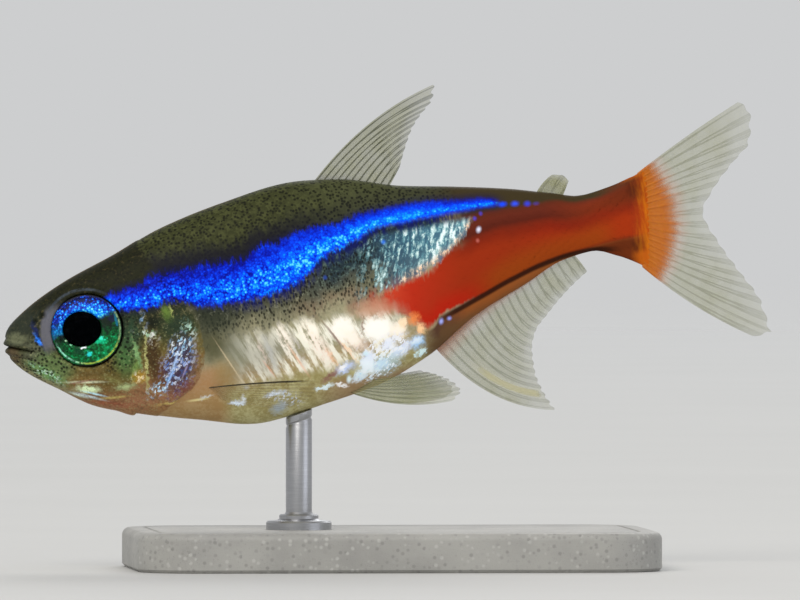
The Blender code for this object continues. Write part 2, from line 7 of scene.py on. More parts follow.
import logging
import math
from collections.abc import Callable, Mapping, Sequence
from dataclasses import dataclass
from enum import Enum

import bmesh
import bpy
import numpy as np
from bpy.types import ID, GeometryNodeTree, Material, Mesh, Node, NodeSocket, NodeTree, Object
from mathutils import Matrix, Vector
from numpy import ndarray


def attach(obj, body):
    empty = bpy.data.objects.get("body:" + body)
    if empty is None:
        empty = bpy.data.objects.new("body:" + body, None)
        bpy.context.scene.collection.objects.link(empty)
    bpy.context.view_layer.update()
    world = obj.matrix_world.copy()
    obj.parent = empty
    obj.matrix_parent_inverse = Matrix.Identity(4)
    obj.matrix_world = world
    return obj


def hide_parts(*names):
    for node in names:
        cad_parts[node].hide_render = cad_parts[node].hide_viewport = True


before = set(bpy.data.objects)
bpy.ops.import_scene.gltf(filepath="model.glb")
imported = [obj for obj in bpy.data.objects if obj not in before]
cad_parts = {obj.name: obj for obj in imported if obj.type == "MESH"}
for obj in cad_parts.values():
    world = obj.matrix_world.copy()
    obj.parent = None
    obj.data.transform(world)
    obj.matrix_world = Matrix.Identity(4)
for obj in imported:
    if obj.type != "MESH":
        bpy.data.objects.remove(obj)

log = logging.getLogger("neon tetra")

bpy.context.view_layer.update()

MM = 0.001
STANDARD_LENGTH = 30.0
PITCH = math.radians(11.0)
TAIL_SWING = 1.1
SWING_START = 15.0
SNOUT_X = -17.7
SNOUT_Z = 10.35
WIDEST_SHARE = 0.52
BACK_FULLNESS = 0.84
BELLY_FULLNESS = 0.95
PINCH_START = 29.2
CAUDAL_LEAN = 0.14
LEAN_START = 26.0
FLESH_END = 30.35
FAR_DEPTH = 1000.0
UNWRAP_TURN = 0.98
SHARP_ANGLE = math.radians(35)

# Body stations: distance from the snout, back, belly, half width
STATIONS = (
    (0.0, -0.20, -0.20, 0.00), (0.06, 0.30, -0.66, 0.42), (0.3, 0.68, -1.07, 0.72), (0.9, 1.13, -1.70, 1.00),
    (1.9, 1.69, -2.47, 1.27), (3.5, 2.35, -3.62, 1.60), (5.5, 2.97, -4.40, 1.85), (8.0, 3.83, -5.18, 2.05),
    (11.0, 4.42, -5.90, 2.12), (14.0, 4.75, -5.58, 2.00), (16.5, 4.44, -5.20, 1.72), (19.0, 3.66, -4.33, 1.42),
    (21.5, 3.12, -2.93, 1.12), (24.0, 2.53, -2.00, 0.84), (26.0, 1.93, -1.24, 0.64), (27.3, 1.57, -1.12, 0.52),
    (28.5, 1.70, -1.56, 0.43), (STANDARD_LENGTH, 2.08, -2.35, 0.34),
)

# The free edge of the gill cover, as (level, distance from the snout)
GILL_EDGE = ((-5.6, 4.8), (-4.2, 6.9), (-3.35, 8.2), (-1.9, 8.72), (-0.6, 8.67), (0.35, 8.2), (2.6, 7.1), (5.2, 6.2))

EYE_CENTRE = (3.72, -0.12)
EYE_SIDE = 1.28
EYE_FORWARD = math.radians(9.0)
EYE_UPWARD = math.radians(6.0)

Colour = tuple[int, int, int]
Place = tuple[float, float]


class Side(Enum):
    """The fish's two sides, as the sign of y."""

    LEFT = -1
    RIGHT = 1

    @property
    def word(self) -> str:
        """Returns the side as names carry it."""
        return self.name.lower()


class Slot(Enum):
    """The record's material slots."""

    TRUNK = "trunk"
    EYE = "eye"
    FIN = "fin"
    STAND_BASE = "stand_base"
    STAND_ROD = "stand_rod"


class Seat(Enum):
    """What a fin grows from."""

    BACK = "back"
    BELLY = "belly"
    TAIL_END = "tail end"
    FLANK = "flank"


class Grain(Enum):
    """How a patch of colour is broken up."""

    SMOOTH = "smooth"
    STREAKED = "streaked"
    # Faceted patches are painted glints: their colour lies only on leaning flecks, each tinted toward white.
    FACETED = "faceted"


SMOOTH, STREAKED, FACETED = Grain
SCALE_SEEDS = {Side.LEFT: 7, Side.RIGHT: 19}
SCALE_INPUTS = (
    ("Roots", "Geometry"), ("Scale", "Object"), ("Size", "Vector"), ("Turn", "Float"), ("Unevenness", "Float"),
    ("Seed", "Int"), ("Finish", "Material"),
)


def tint(colour: Colour) -> tuple[float, float, float, float]:
    """Turns a display colour into the linear colour that shaders take.

    Args:
        colour: Red, green and blue from 0 to 255.

    Returns:
        Linear red, green, blue and an alpha of 1.
    """
    shares = [channel / 255 for channel in colour]
    linear = [c / 12.92 if c <= 0.04045 else ((c + 0.055) / 1.055) ** 2.4 for c in shares]
    return (linear[0], linear[1], linear[2], 1.0)


def bell(value: ndarray, middle: float, width: float) -> ndarray:
    """Rises softly to 1 at a middle and falls again."""
    return np.exp(-(((value - middle) / width) ** 2))


def soft(value: ndarray, low: float, high: float) -> ndarray:
    """Goes softly from 0 at low to 1 at high."""
    share = np.clip((value - low) / (high - low), 0.0, 1.0)
    return share * share * (3.0 - 2.0 * share)


class SmoothCurve:
    """A curve through rows of (t, value, ...) that never overshoots them."""

    def __init__(self, rows: Sequence[Sequence[float]]) -> None:
        """Works out the slopes.

        Args:
            rows: The points, each t first, in rising order of t.
        """
        table = np.array(rows, float)
        self.ts, self.values = table[:, 0], table[:, 1:]
        steps = np.diff(self.values, axis=0) / np.diff(self.ts)[:, None]
        product = steps[:-1] * steps[1:]
        total = np.where(product > 0, steps[:-1] + steps[1:], 1.0)
        inner = np.where(product > 0, 2 * product / total, 0.0)
        self.slopes = np.vstack([steps[:1], inner, steps[-1:]])

    def __call__(self, t: ndarray) -> ndarray:
        """Reads the curve.

        Args:
            t: Where to read it, clamped to its ends.

        Returns:
            The values, with one more axis than t.
        """
        t = np.clip(np.asarray(t, float), self.ts[0], self.ts[-1])
        i = np.clip(np.searchsorted(self.ts, t, side="right") - 1, 0, len(self.ts) - 2)
        span = (self.ts[i + 1] - self.ts[i])[..., None]
        u = (t - self.ts[i])[..., None] / span
        start = (2 * u**3 - 3 * u**2 + 1) * self.values[i] + (u**3 - 2 * u**2 + u) * self.slopes[i] * span
        end = (3 * u**2 - 2 * u**3) * self.values[i + 1] + (u**3 - u**2) * self.slopes[i + 1] * span
        return start + end


def path_through(points: Sequence[Sequence[float]]) -> SmoothCurve:
    """Makes a smooth path of 0 to 1 through points, even in length.

    Args:
        points: What it goes through.

    Returns:
        The path as a curve over 0 to 1.
    """
    table = np.array(points, float)
    lengths = np.concatenate([[0.0], np.cumsum(np.linalg.norm(np.diff(table, axis=0), axis=1))])
    return SmoothCurve(np.column_stack([lengths / lengths[-1], table]))


def skin_unwrap(s: ndarray, around: ndarray) -> ndarray:
    """Returns places on the skin's flat unwrap, from distances from the snout and shares of a turn."""
    return np.column_stack([s / (STANDARD_LENGTH + 1.0), around * UNWRAP_TURN + 0.01])


class FishForm:
    """The fish's outer form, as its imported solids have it."""

    def __init__(self) -> None:
        """Readies the station curve and the arcs round the body."""
        self.stations = SmoothCurve([(math.sqrt(row[0]), *row[1:]) for row in STATIONS])
        self.gill_curve = SmoothCurve(GILL_EDGE)
        self.arc_rows = np.linspace(0.5, STANDARD_LENGTH, 240)
        self.arc_angles = np.linspace(0.0, math.pi, 181)
        grid = self.surface(*np.meshgrid(self.arc_rows, self.arc_angles, indexing="ij"))
        steps = np.linalg.norm(np.diff(grid, axis=1), axis=2)
        arcs = np.concatenate([np.zeros((len(steps), 1)), np.cumsum(steps, axis=1)], axis=1)
        widest = len(self.arc_angles) // 2
        self.arcs = arcs - arcs[:, widest : widest + 1]

    def section(self, s: ndarray) -> tuple[ndarray, ndarray, ndarray]:
        """Returns the back, the belly and the half width at a distance from the snout."""
        return tuple(np.moveaxis(self.stations(np.sqrt(np.maximum(s, 0.0))), -1, 0))

    def surface(self, s: ndarray, angle: ndarray) -> ndarray:
        """Finds points of the skin.

        Args:
            s: Distances from the snout.
            angle: Angles from the back, negative on the left side.

        Returns:
            The points as (s, y, h).
        """
        back, belly, half = self.section(s)
        level = belly + WIDEST_SHARE * (back - belly)
        rise, turn = np.cos(angle), np.sin(angle)
        h = level + rise * np.where(rise > 0, back - level, level - belly)
        fullness = np.where(rise > 0, BACK_FULLNESS, BELLY_FULLNESS)
        y = half * np.abs(turn) ** fullness * np.sign(turn) * (1.0 - soft(s, PINCH_START, FLESH_END))
        late = np.maximum(0.0, (s - LEAN_START) / (STANDARD_LENGTH - LEAN_START))
        return np.stack([s + CAUDAL_LEAN * h * late**2, y, h], axis=-1)

    def outward(self, s: ndarray, angle: ndarray) -> ndarray:
        """Finds the skin's outward directions.

        Args:
            s: Distances from the snout.
            angle: Angles from the back, negative on the left side.

        Returns:
            Directions of length 1.
        """
        bit = 0.01
        along = self.surface(s + bit, angle) - self.surface(np.maximum(s - bit, 1e-6), angle)
        around = self.surface(s, angle + bit) - self.surface(s, angle - bit)
        normal = np.cross(along, around)
        return normal / np.maximum(np.linalg.norm(normal, axis=-1, keepdims=True), 1e-12)

    def flank(self, s: float, h: float, side: Side, lift: float = 0.0) -> ndarray:
        """Finds a point of one flank from its place in side view.

        Args:
            s: Distance from the snout.
            h: Level.
            side: Which flank.
            lift: How far outside the skin.

        Returns:
            The point as (s, y, h).
        """
        back, belly, _half = self.section(np.array(s))
        level = belly + WIDEST_SHARE * (back - belly)
        rise = (h - level) / (back - level if h > level else level - belly)
        angle = np.array(side.value * math.acos(min(1.0, max(-1.0, float(rise)))))
        return self.surface(np.array(s), angle) + lift * self.outward(np.array(s), angle)

    def gill_distance(self, points: ndarray) -> ndarray:
        """Returns how far points lie behind the gill cover's free edge."""
        return points[..., 0] - self.gill_curve(points[..., 2])[..., 0]

    def angle_at(self, s: ndarray, arc: ndarray) -> ndarray:
        """Finds the angle from the back at an arc's length from the widest level, positive toward the belly.

        Args:
            s: Distances from the snout.
            arc: Lengths along the skin from the widest level, negative toward the back.

        Returns:
            The angles.
        """
        last = len(self.arc_rows) - 1
        row = np.interp(s, self.arc_rows, np.arange(last + 1))
        low = np.minimum(row.astype(int), last - 1)
        apart = 100.0
        flat = (self.arcs + apart * np.arange(last + 1)[:, None]).ravel()
        angles = np.tile(self.arc_angles, last + 1)
        found = [np.interp(arc + apart * i, flat, angles) for i in (low, low + 1)]
        share = row - low
        return found[0] * (1 - share) + found[1] * share

    def arc_limits(self, s: ndarray) -> tuple[ndarray, ndarray]:
        """Returns the arcs from the widest level to the back, negative, and to the belly."""
        return np.interp(s, self.arc_rows, self.arcs[:, 0]), np.interp(s, self.arc_rows, self.arcs[:, -1])

    @staticmethod
    def world(points: ndarray) -> ndarray:
        """Carries points from the fish's frame to the world, in metres.

        Args:
            points: Places as (s, y, h).

        Returns:
            The places in the world as (x, y, z).
        """
        s, y, h = points[..., 0], points[..., 1], points[..., 2]
        swing = TAIL_SWING * (np.maximum(0.0, s - SWING_START) / (STANDARD_LENGTH - SWING_START)) ** 2
        x = SNOUT_X + s * math.cos(PITCH) - h * math.sin(PITCH)
        z = SNOUT_Z + s * math.sin(PITCH) + h * math.cos(PITCH)
        return np.stack([x, y + swing, z], axis=-1) * MM


def add_object(name: str, data: ID) -> Object:
    """Makes an object of some data and links it to the scene.

    Args:
        name: Its name.
        data: Its mesh, camera or light.

    Returns:
        The object.
    """
    item = bpy.data.objects.new(name, data)
    bpy.context.scene.collection.objects.link(item)
    return item


def write_attributes(mesh: Mesh, attributes: Mapping[str, ndarray]) -> None:
    """Gives a mesh's points named vectors.

    Args:
        mesh: The mesh.
        attributes: Each vector's name and its values, one for each point.
    """
    for name, values in attributes.items():
        layer = mesh.attributes.new(name, "FLOAT_VECTOR", "POINT")
        layer.data.foreach_set("vector", values.astype(np.float32).ravel())


def read(items: bpy.types.bpy_prop_collection, name: str, width: int = 1) -> ndarray:
    """Reads whole numbers, or vectors where a width is given, from all of a mesh's items.

    Args:
        items: The mesh's corners, faces or points.
        name: What is read of each.
        width: How many numbers each item has.

    Returns:
        The values, a row for each item where a width is given.
    """
    values = np.zeros(len(items) * width, np.int32 if width == 1 else np.float32)
    items.foreach_get(name, values)
    return values if width == 1 else values.reshape(-1, width)


def write_uv(mesh: Mesh, corners: ndarray) -> None:
    """Gives a mesh its OFBake map from one place for each corner."""
    layer = mesh.uv_layers.new(name="OFBake")
    layer.data.foreach_set("uv", corners.astype(np.float32).ravel())


def ring_faces(rings: int, around: int) -> list[tuple[int, ...]]:
    """Lists the faces of rings of points between a first and a last point on their axis.

    Args:
        rings: How many rings there are.
        around: How many points each ring has.

    Returns:
        The faces: the first cap, the bands in order and the last cap.
    """
    pairs = [(j, (j + 1) % around) for j in range(around)]
    faces = [(0, 1 + n, 1 + j) for j, n in pairs]
    last = 1 + (rings - 1) * around
    for a in range(1, last, around):
        faces += [(a + j, a + n, a + around + n, a + around + j) for j, n in pairs]
    return faces + [(last + j, last + n, last + around) for j, n in pairs]


def build_piece(
    name: str,
    points: ndarray,
    faces: Sequence[Sequence[int]],
    material: Material,
    attributes: Mapping[str, ndarray] | None = None,
) -> Object:
    """Makes a smooth-shaded mesh object that faces outward.

    Args:
        name: The piece's name.
        points: World points in metres.
        faces: Corner numbers of each face.
        material: Its finish.
        attributes: Vectors at each point, by name.

    Returns:
        The object, linked to the scene.
    """
    mesh = bpy.data.meshes.new(name)
    mesh.from_pydata(points.reshape(-1, 3).tolist(), [], [list(face) for face in faces])
    write_attributes(mesh, attributes or {})
    shell = bmesh.new()
    shell.from_mesh(mesh)
    bmesh.ops.recalc_face_normals(shell, faces=shell.faces)
    shell.to_mesh(mesh)
    shell.free()
    mesh.shade_smooth()
    mesh.materials.append(material)
    return add_object(name, mesh)


class Wire:
    """A number in a node tree, on which Python's operators add Math nodes."""

    def __init__(self, tree: "Tree", socket: NodeSocket) -> None:
        """Wraps an output socket of a tree."""
        self.tree, self.socket = tree, socket

    def math(self, operation: str, *values: "Value") -> "Wire":
        """Returns the result of a Math node on some values."""
        return self.tree.wire("ShaderNodeMath", {"operation": operation}, dict(enumerate(values)))

    def __add__(self, other: "Value") -> "Wire":
        """Returns the sum."""
        return self.math("ADD", self, other)

    def __sub__(self, other: "Value") -> "Wire":
        """Returns the difference."""
        return self.math("SUBTRACT", self, other)

    def __rsub__(self, other: float) -> "Wire":
        """Returns a number less this value."""
        return self.math("SUBTRACT", other, self)

    def __mul__(self, other: "Value") -> "Wire":
        """Returns the product."""
        return self.math("MULTIPLY", self, other)

    def __truediv__(self, other: "Value") -> "Wire":
        """Returns the quotient."""
        return self.math("DIVIDE", self, other)

    def __abs__(self) -> "Wire":
        """Returns the size without its sign."""
        return self.math("ABSOLUTE", self)

    __radd__, __rmul__ = __add__, __mul__

    def most(self, other: "Value") -> "Wire":
        """Returns the larger of two values."""
        return self.math("MAXIMUM", self, other)

    def least(self, other: "Value") -> "Wire":
        """Returns the smaller of two values."""
        return self.math("MINIMUM", self, other)

    def step(self, low: float, high: float) -> "Wire":
        """Goes softly from 0 at low to 1 at high, which may lie either way round."""
        sockets = {"Value": self, "From Min": low, "From Max": high}
        return self.tree.wire("ShaderNodeMapRange", {"interpolation_type": "SMOOTHSTEP"}, sockets)

    def window(self, rise: Place, fall: Place) -> "Wire":
        """Goes softly up over one stretch and down over another."""
        return self.step(*rise) * self.step(*fall)


Value = Wire | float


class Tree:
    """A node tree, with the one method that adds nodes to it."""

    def __init__(self, nodes: NodeTree) -> None:
        """Wraps a tree of Blender's."""
        self.nodes = nodes

    def node(
        self,
        kind: str,
        settings: Mapping[str, object] | None = None,
        sockets: Mapping[int | str, object] | None = None,
    ) -> Node:
        """Adds a node.

        Args:
            kind: The node's type.
            settings: Its settings, which are set first; "stops" fills a ramp with (place, colour) pairs.
            sockets: Values or links of its inputs.

        Returns:
            The node.
        """
        node = self.nodes.nodes.new(kind)
        for name, value in (settings or {}).items():
            if name == "stops":
                ramp = node.color_ramp
                for number, (spot, colour) in enumerate(value):
                    stop = ramp.elements[number] if number < 2 else ramp.elements.new(spot)
                    stop.position, stop.color = spot, tint(colour)
            else:
                setattr(node, name, value)
        for key, value in (sockets or {}).items():
            self.feed(node.inputs[key], value)
        return node

    def wire(
        self, kind: str, settings: Mapping[str, object], sockets: Mapping[int | str, object], output: int | str = 0
    ) -> Wire:
        """Adds a node and returns one of its outputs."""
        return Wire(self, self.node(kind, settings, sockets).outputs[output])

    def feed(self, socket: NodeSocket, value: object) -> None:
        """Sets a socket's value, or links a wire or an output socket to it.

        Args:
            socket: The socket that is set.
            value: A plain value, a wire or an output socket.
        """
        value = value.socket if isinstance(value, Wire) else value
        if isinstance(value, NodeSocket):
            self.nodes.links.new(value, socket)
        else:
            socket.default_value = value


class Paint(Tree):
    """One material and the node tree that is built in it."""

    def __init__(self, name: str) -> None:
        """Makes an empty material with its Principled shader.

        Args:
            name: The material's name.
        """
        self.material = bpy.data.materials.new(name)
        self.material.use_nodes = True
        super().__init__(self.material.node_tree)

    def finish(self, sockets: Mapping[str, object]) -> Material:
        """Fills the Principled shader's sockets.

        Args:
            sockets: The shader's sockets by name, with a value or wire each.

        Returns:
            The material.
        """
        for name, value in sockets.items():
            self.feed(self.nodes.nodes["Principled BSDF"].inputs[name], value)
        return self.material

    def glow(self, colour: object, low: float) -> Wire:
        """Returns how far a colour's strongest channel is above a level: the share of painted glow, given off as
        emission, that the brightest colours get.
        """
        red, green, blue = self.channels(colour)
        return red.most(green).most(blue).step(low, 1.0)

    def attribute(self, name: str) -> NodeSocket:
        """Returns a three-part attribute."""
        return self.node("ShaderNodeAttribute", {"attribute_name": name}).outputs["Vector"]

    def object_place(self) -> NodeSocket:
        """Returns Object coordinates in millimetres."""
        return self.stretched(self.node("ShaderNodeTexCoord").outputs["Object"], (1 / MM, 1 / MM, 1 / MM))

    def parts(self, vector: object) -> tuple[Wire, Wire, Wire]:
        """Returns the three parts of a vector."""
        return tuple(Wire(self, output) for output in self.node("ShaderNodeSeparateXYZ", {}, {0: vector}).outputs)

    def channels(self, colour: object) -> tuple[Wire, Wire, Wire]:
        """Returns a colour's red, green and blue."""
        return tuple(Wire(self, output) for output in self.node("ShaderNodeSeparateColor", {}, {0: colour}).outputs)

    def vector(self, x: Value, y: Value, z: Value = 0.0) -> NodeSocket:
        """Puts a vector together from its parts."""
        return self.node("ShaderNodeCombineXYZ", {}, {0: x, 1: y, 2: z}).outputs[0]

    def length(self, x: Value, y: Value) -> Wire:
        """Returns how far a flat place is from the middle."""
        return self.wire("ShaderNodeVectorMath", {"operation": "LENGTH"}, {0: self.vector(x, y)}, "Value")

    def stretched(self, vector: object, factors: tuple[float, float, float]) -> NodeSocket:
        """Returns a vector multiplied part by part."""
        return self.node("ShaderNodeVectorMath", {"operation": "MULTIPLY"}, {0: vector, 1: factors}).outputs[0]

    def oval_place(self, vector: object, turn: float, scale: Sequence[float], place: Place = (0, 0)) -> NodeSocket:
        """Returns a vector as measured from the middle of an oval, along its turned axes, in its own sizes."""
        sockets = {0: vector, "Location": (*place, 0.0), "Rotation": (0.0, 0.0, math.radians(turn)), "Scale": scale}
        return self.node("ShaderNodeMapping", {"vector_type": "TEXTURE"}, sockets).outputs[0]

    def noise(self, vector: object, scale: float, detail: float = 2.0, roughness: float = 0.5) -> Wire:
        """Returns soft noise from 0 to 1."""
        sockets = {"Vector": vector, "Scale": scale, "Detail": detail, "Roughness": roughness}
        return self.wire("ShaderNodeTexNoise", {}, sockets)

    def cells(self, vector: object, scale: float) -> tuple[Wire, Wire]:
        """Returns the distance to the nearest of scattered points, and that point's own random number."""
        node = self.node("ShaderNodeTexVoronoi", {}, {"Vector": vector, "Scale": scale})
        return Wire(self, node.outputs["Distance"]), self.channels(node.outputs["Color"])[0]

    def curve(self, value: Wire, points: Sequence[Place]) -> Wire:
        """Draws a smooth line through points and reads it.

        Args:
            value: Where to read it.
            points: The points as (place, level), in rising order of place.

        Returns:
            The line's level.
        """
        first, last = points[0][0], points[-1][0]
        low, high = min(p[1] for p in points), max(p[1] for p in points)
        node = self.node("ShaderNodeFloatCurve", {}, {"Value": (value - first) / (last - first)})
        line = node.mapping.curves[0]
        spots = [((place - first) / (last - first), (level - low) / (high - low)) for place, level in points]
        line.points[0].location, line.points[1].location = spots[0], spots[-1]
        for spot in spots[1:-1]:
            line.points.new(*spot)
        for point in line.points:
            point.handle_type = "AUTO_CLAMPED"
        node.mapping.update()
        return Wire(self, node.outputs[0]) * (high - low) + low

    def ramp(self, value: Wire, stops: Sequence[tuple[float, Colour]]) -> NodeSocket:
        """Returns the colour at a value from 0 to 1 among colour stops."""
        return self.node("ShaderNodeValToRGB", {"stops": stops}, {0: value}).outputs[0]

    def mix(self, share: Value, below: object, above: object) -> NodeSocket:
        """Returns the blend of two colours."""
        pair = [tint(colour) if isinstance(colour, tuple) else colour for colour in (below, above)]
        return self.node("ShaderNodeMix", {"data_type": "RGBA"}, {0: share, 6: pair[0], 7: pair[1]}).outputs[2]

    def bump(self, height: Wire, strength: float, distance: float = 0.00002) -> NodeSocket:
        """Returns the normal of a height field, its distance in metres."""
        sockets = {"Height": height, "Strength": strength, "Distance": distance}
        return self.node("ShaderNodeBump", {}, sockets).outputs[0]


@dataclass(frozen=True)
class Patch:
    """A soft-edged oval of colour in side view, centred on (s, h) and turned anticlockwise in degrees."""

    s: float
    h: float
    length: float
    width: float
    colour: Colour
    turn: float = 0.0
    softness: float = 0.5
    strength: float = 1.0
    grain: Grain = SMOOTH


# Lines of the markings, as (distance from the snout, level)
STRIPE_UPPER = (
    (4.6, 1.15), (5.0, 1.30), (6.6, 1.50), (7.1, 1.80), (9.2, 1.80), (11.2, 1.72), (11.8, 2.03), (13.2, 2.24),
    (14.5, 2.46), (15.7, 2.42), (16.6, 2.65), (18.9, 2.74), (21.5, 2.47), (22.6, 2.33), (24.0, 1.95), (24.8, 1.72),
)
STRIPE_LOWER = (
    (4.6, 0.75), (5.0, 0.62), (6.8, 0.38), (7.5, 0.50), (8.9, 0.0), (10.1, -0.17), (11.0, -0.16), (12.4, -0.07),
    (13.4, 0.16), (14.3, 0.63), (14.9, 1.10), (16.65, 1.56), (18.0, 1.93), (20.0, 1.92), (22.5, 1.90), (24.8, 1.68),
)
MINT_EDGE = (
    (16.2, -1.35), (16.9, -1.05), (18.2, -0.7), (19.1, -0.5), (19.9, -0.2), (20.7, 0.33), (21.45, 0.79), (22.0, 1.4),
)
RED_UPPER = (
    (16.2, -1.25), (16.7, -1.07), (17.4, -0.88), (18.2, -0.68), (19.1, -0.5), (19.9, -0.2), (20.7, 0.3),
    (21.6, 0.46), (23.2, 0.74), (25.4, 0.72), (27.0, 0.50), (28.4, 0.72), (30.0, 0.95),
)
RED_LOWER = (
    (16.2, -1.45), (17.0, -1.72), (17.7, -2.05), (18.4, -2.5), (19.05, -3.1), (19.8, -2.60), (22.0, -2.06),
    (23.3, -1.64), (25.5, -1.12), (27.0, -0.94), (28.0, -0.82), (30.0, -0.8),
)
BAND_UPPER = ((20.0, 1.8), (23.0, 1.7), (24.5, 1.62), (26.0, 1.58), (27.3, 1.3), (28.5, 1.38), (30.0, 1.8))
ANAL_LINE = ((19.0, -2.95), (20.4, -2.56), (22.0, -2.06), (23.3, -1.64), (25.5, -1.14), (26.9, -1.04), (28.5, -1.2))
DUSK_DEPTH = ((8.0, 1.5), (10.0, 1.4), (13.5, 1.7), (15.5, 2.6), (17.5, 3.0), (19.0, 2.5))

# How ragged the red's front and the stripe's edges are, as (distance from the snout, reach)
RED_RAGGEDNESS = ((16.0, 1.6), (20.0, 0.9), (23.0, 0.2), (30.0, 0.1))
STRIPE_RAGGEDNESS = ((4.0, 0.4), (8.0, 1.2), (15.0, 1.1), (18.0, 0.5), (21.0, 0.25), (26.0, 0.15))
# The mint's thickness and the stripe's shine along the body, and its shine from the lower edge to the upper; the shine
# is partly the stripe's own blue and partly painted glints
MINT_THICKNESS = ((14.5, 0.0), (16.5, 0.0), (18.2, 0.06), (19.5, 0.18), (21.0, 0.26), (22.5, 0.2))
SHINE_ALONG = ((5.0, 0.06), (7.0, -0.08), (11.0, -0.02), (15.0, 0.1), (20.0, 0.04))
SHINE_ACROSS = ((-0.3, 0.22), (0.1, 0.48), (0.34, 0.6), (0.58, 0.42), (0.88, 0.22), (1.3, 0.12))

# Runs of colour, as (place from 0 to 1, colour)
BAND_COLOURS = ((0.1, (82, 42, 22)), (0.5, (104, 40, 24)), (0.75, (92, 32, 18)), (1.0, (132, 42, 18)))
RED_COLOURS = (
    (0.03, (190, 110, 82)), (0.1, (208, 72, 44)), (0.19, (190, 46, 22)), (0.36, (164, 48, 14)),
    (0.55, (156, 48, 12)), (0.75, (164, 42, 12)), (0.93, (168, 52, 10)),
)
MINT_COLOURS = ((0.0, (66, 116, 142)), (0.3, (122, 184, 196)), (0.6, (190, 222, 220)), (0.95, (232, 246, 250)))
STRIPE_COLOURS = (
    (0.0, (0, 8, 90)), (0.16, (0, 20, 176)), (0.38, (0, 56, 232)), (0.58, (0, 98, 252)),
    (0.78, (6, 154, 255)), (1.0, (96, 216, 255)),
)
HEAD_COLOURS = (
    (0.02, (160, 122, 76)), (0.12, (168, 120, 88)), (0.24, (144, 106, 68)), (0.36, (124, 106, 56)),
    (0.5, (72, 74, 42)), (0.62, (42, 47, 32)), (0.76, (35, 37, 20)), (0.95, (33, 34, 17)),
)
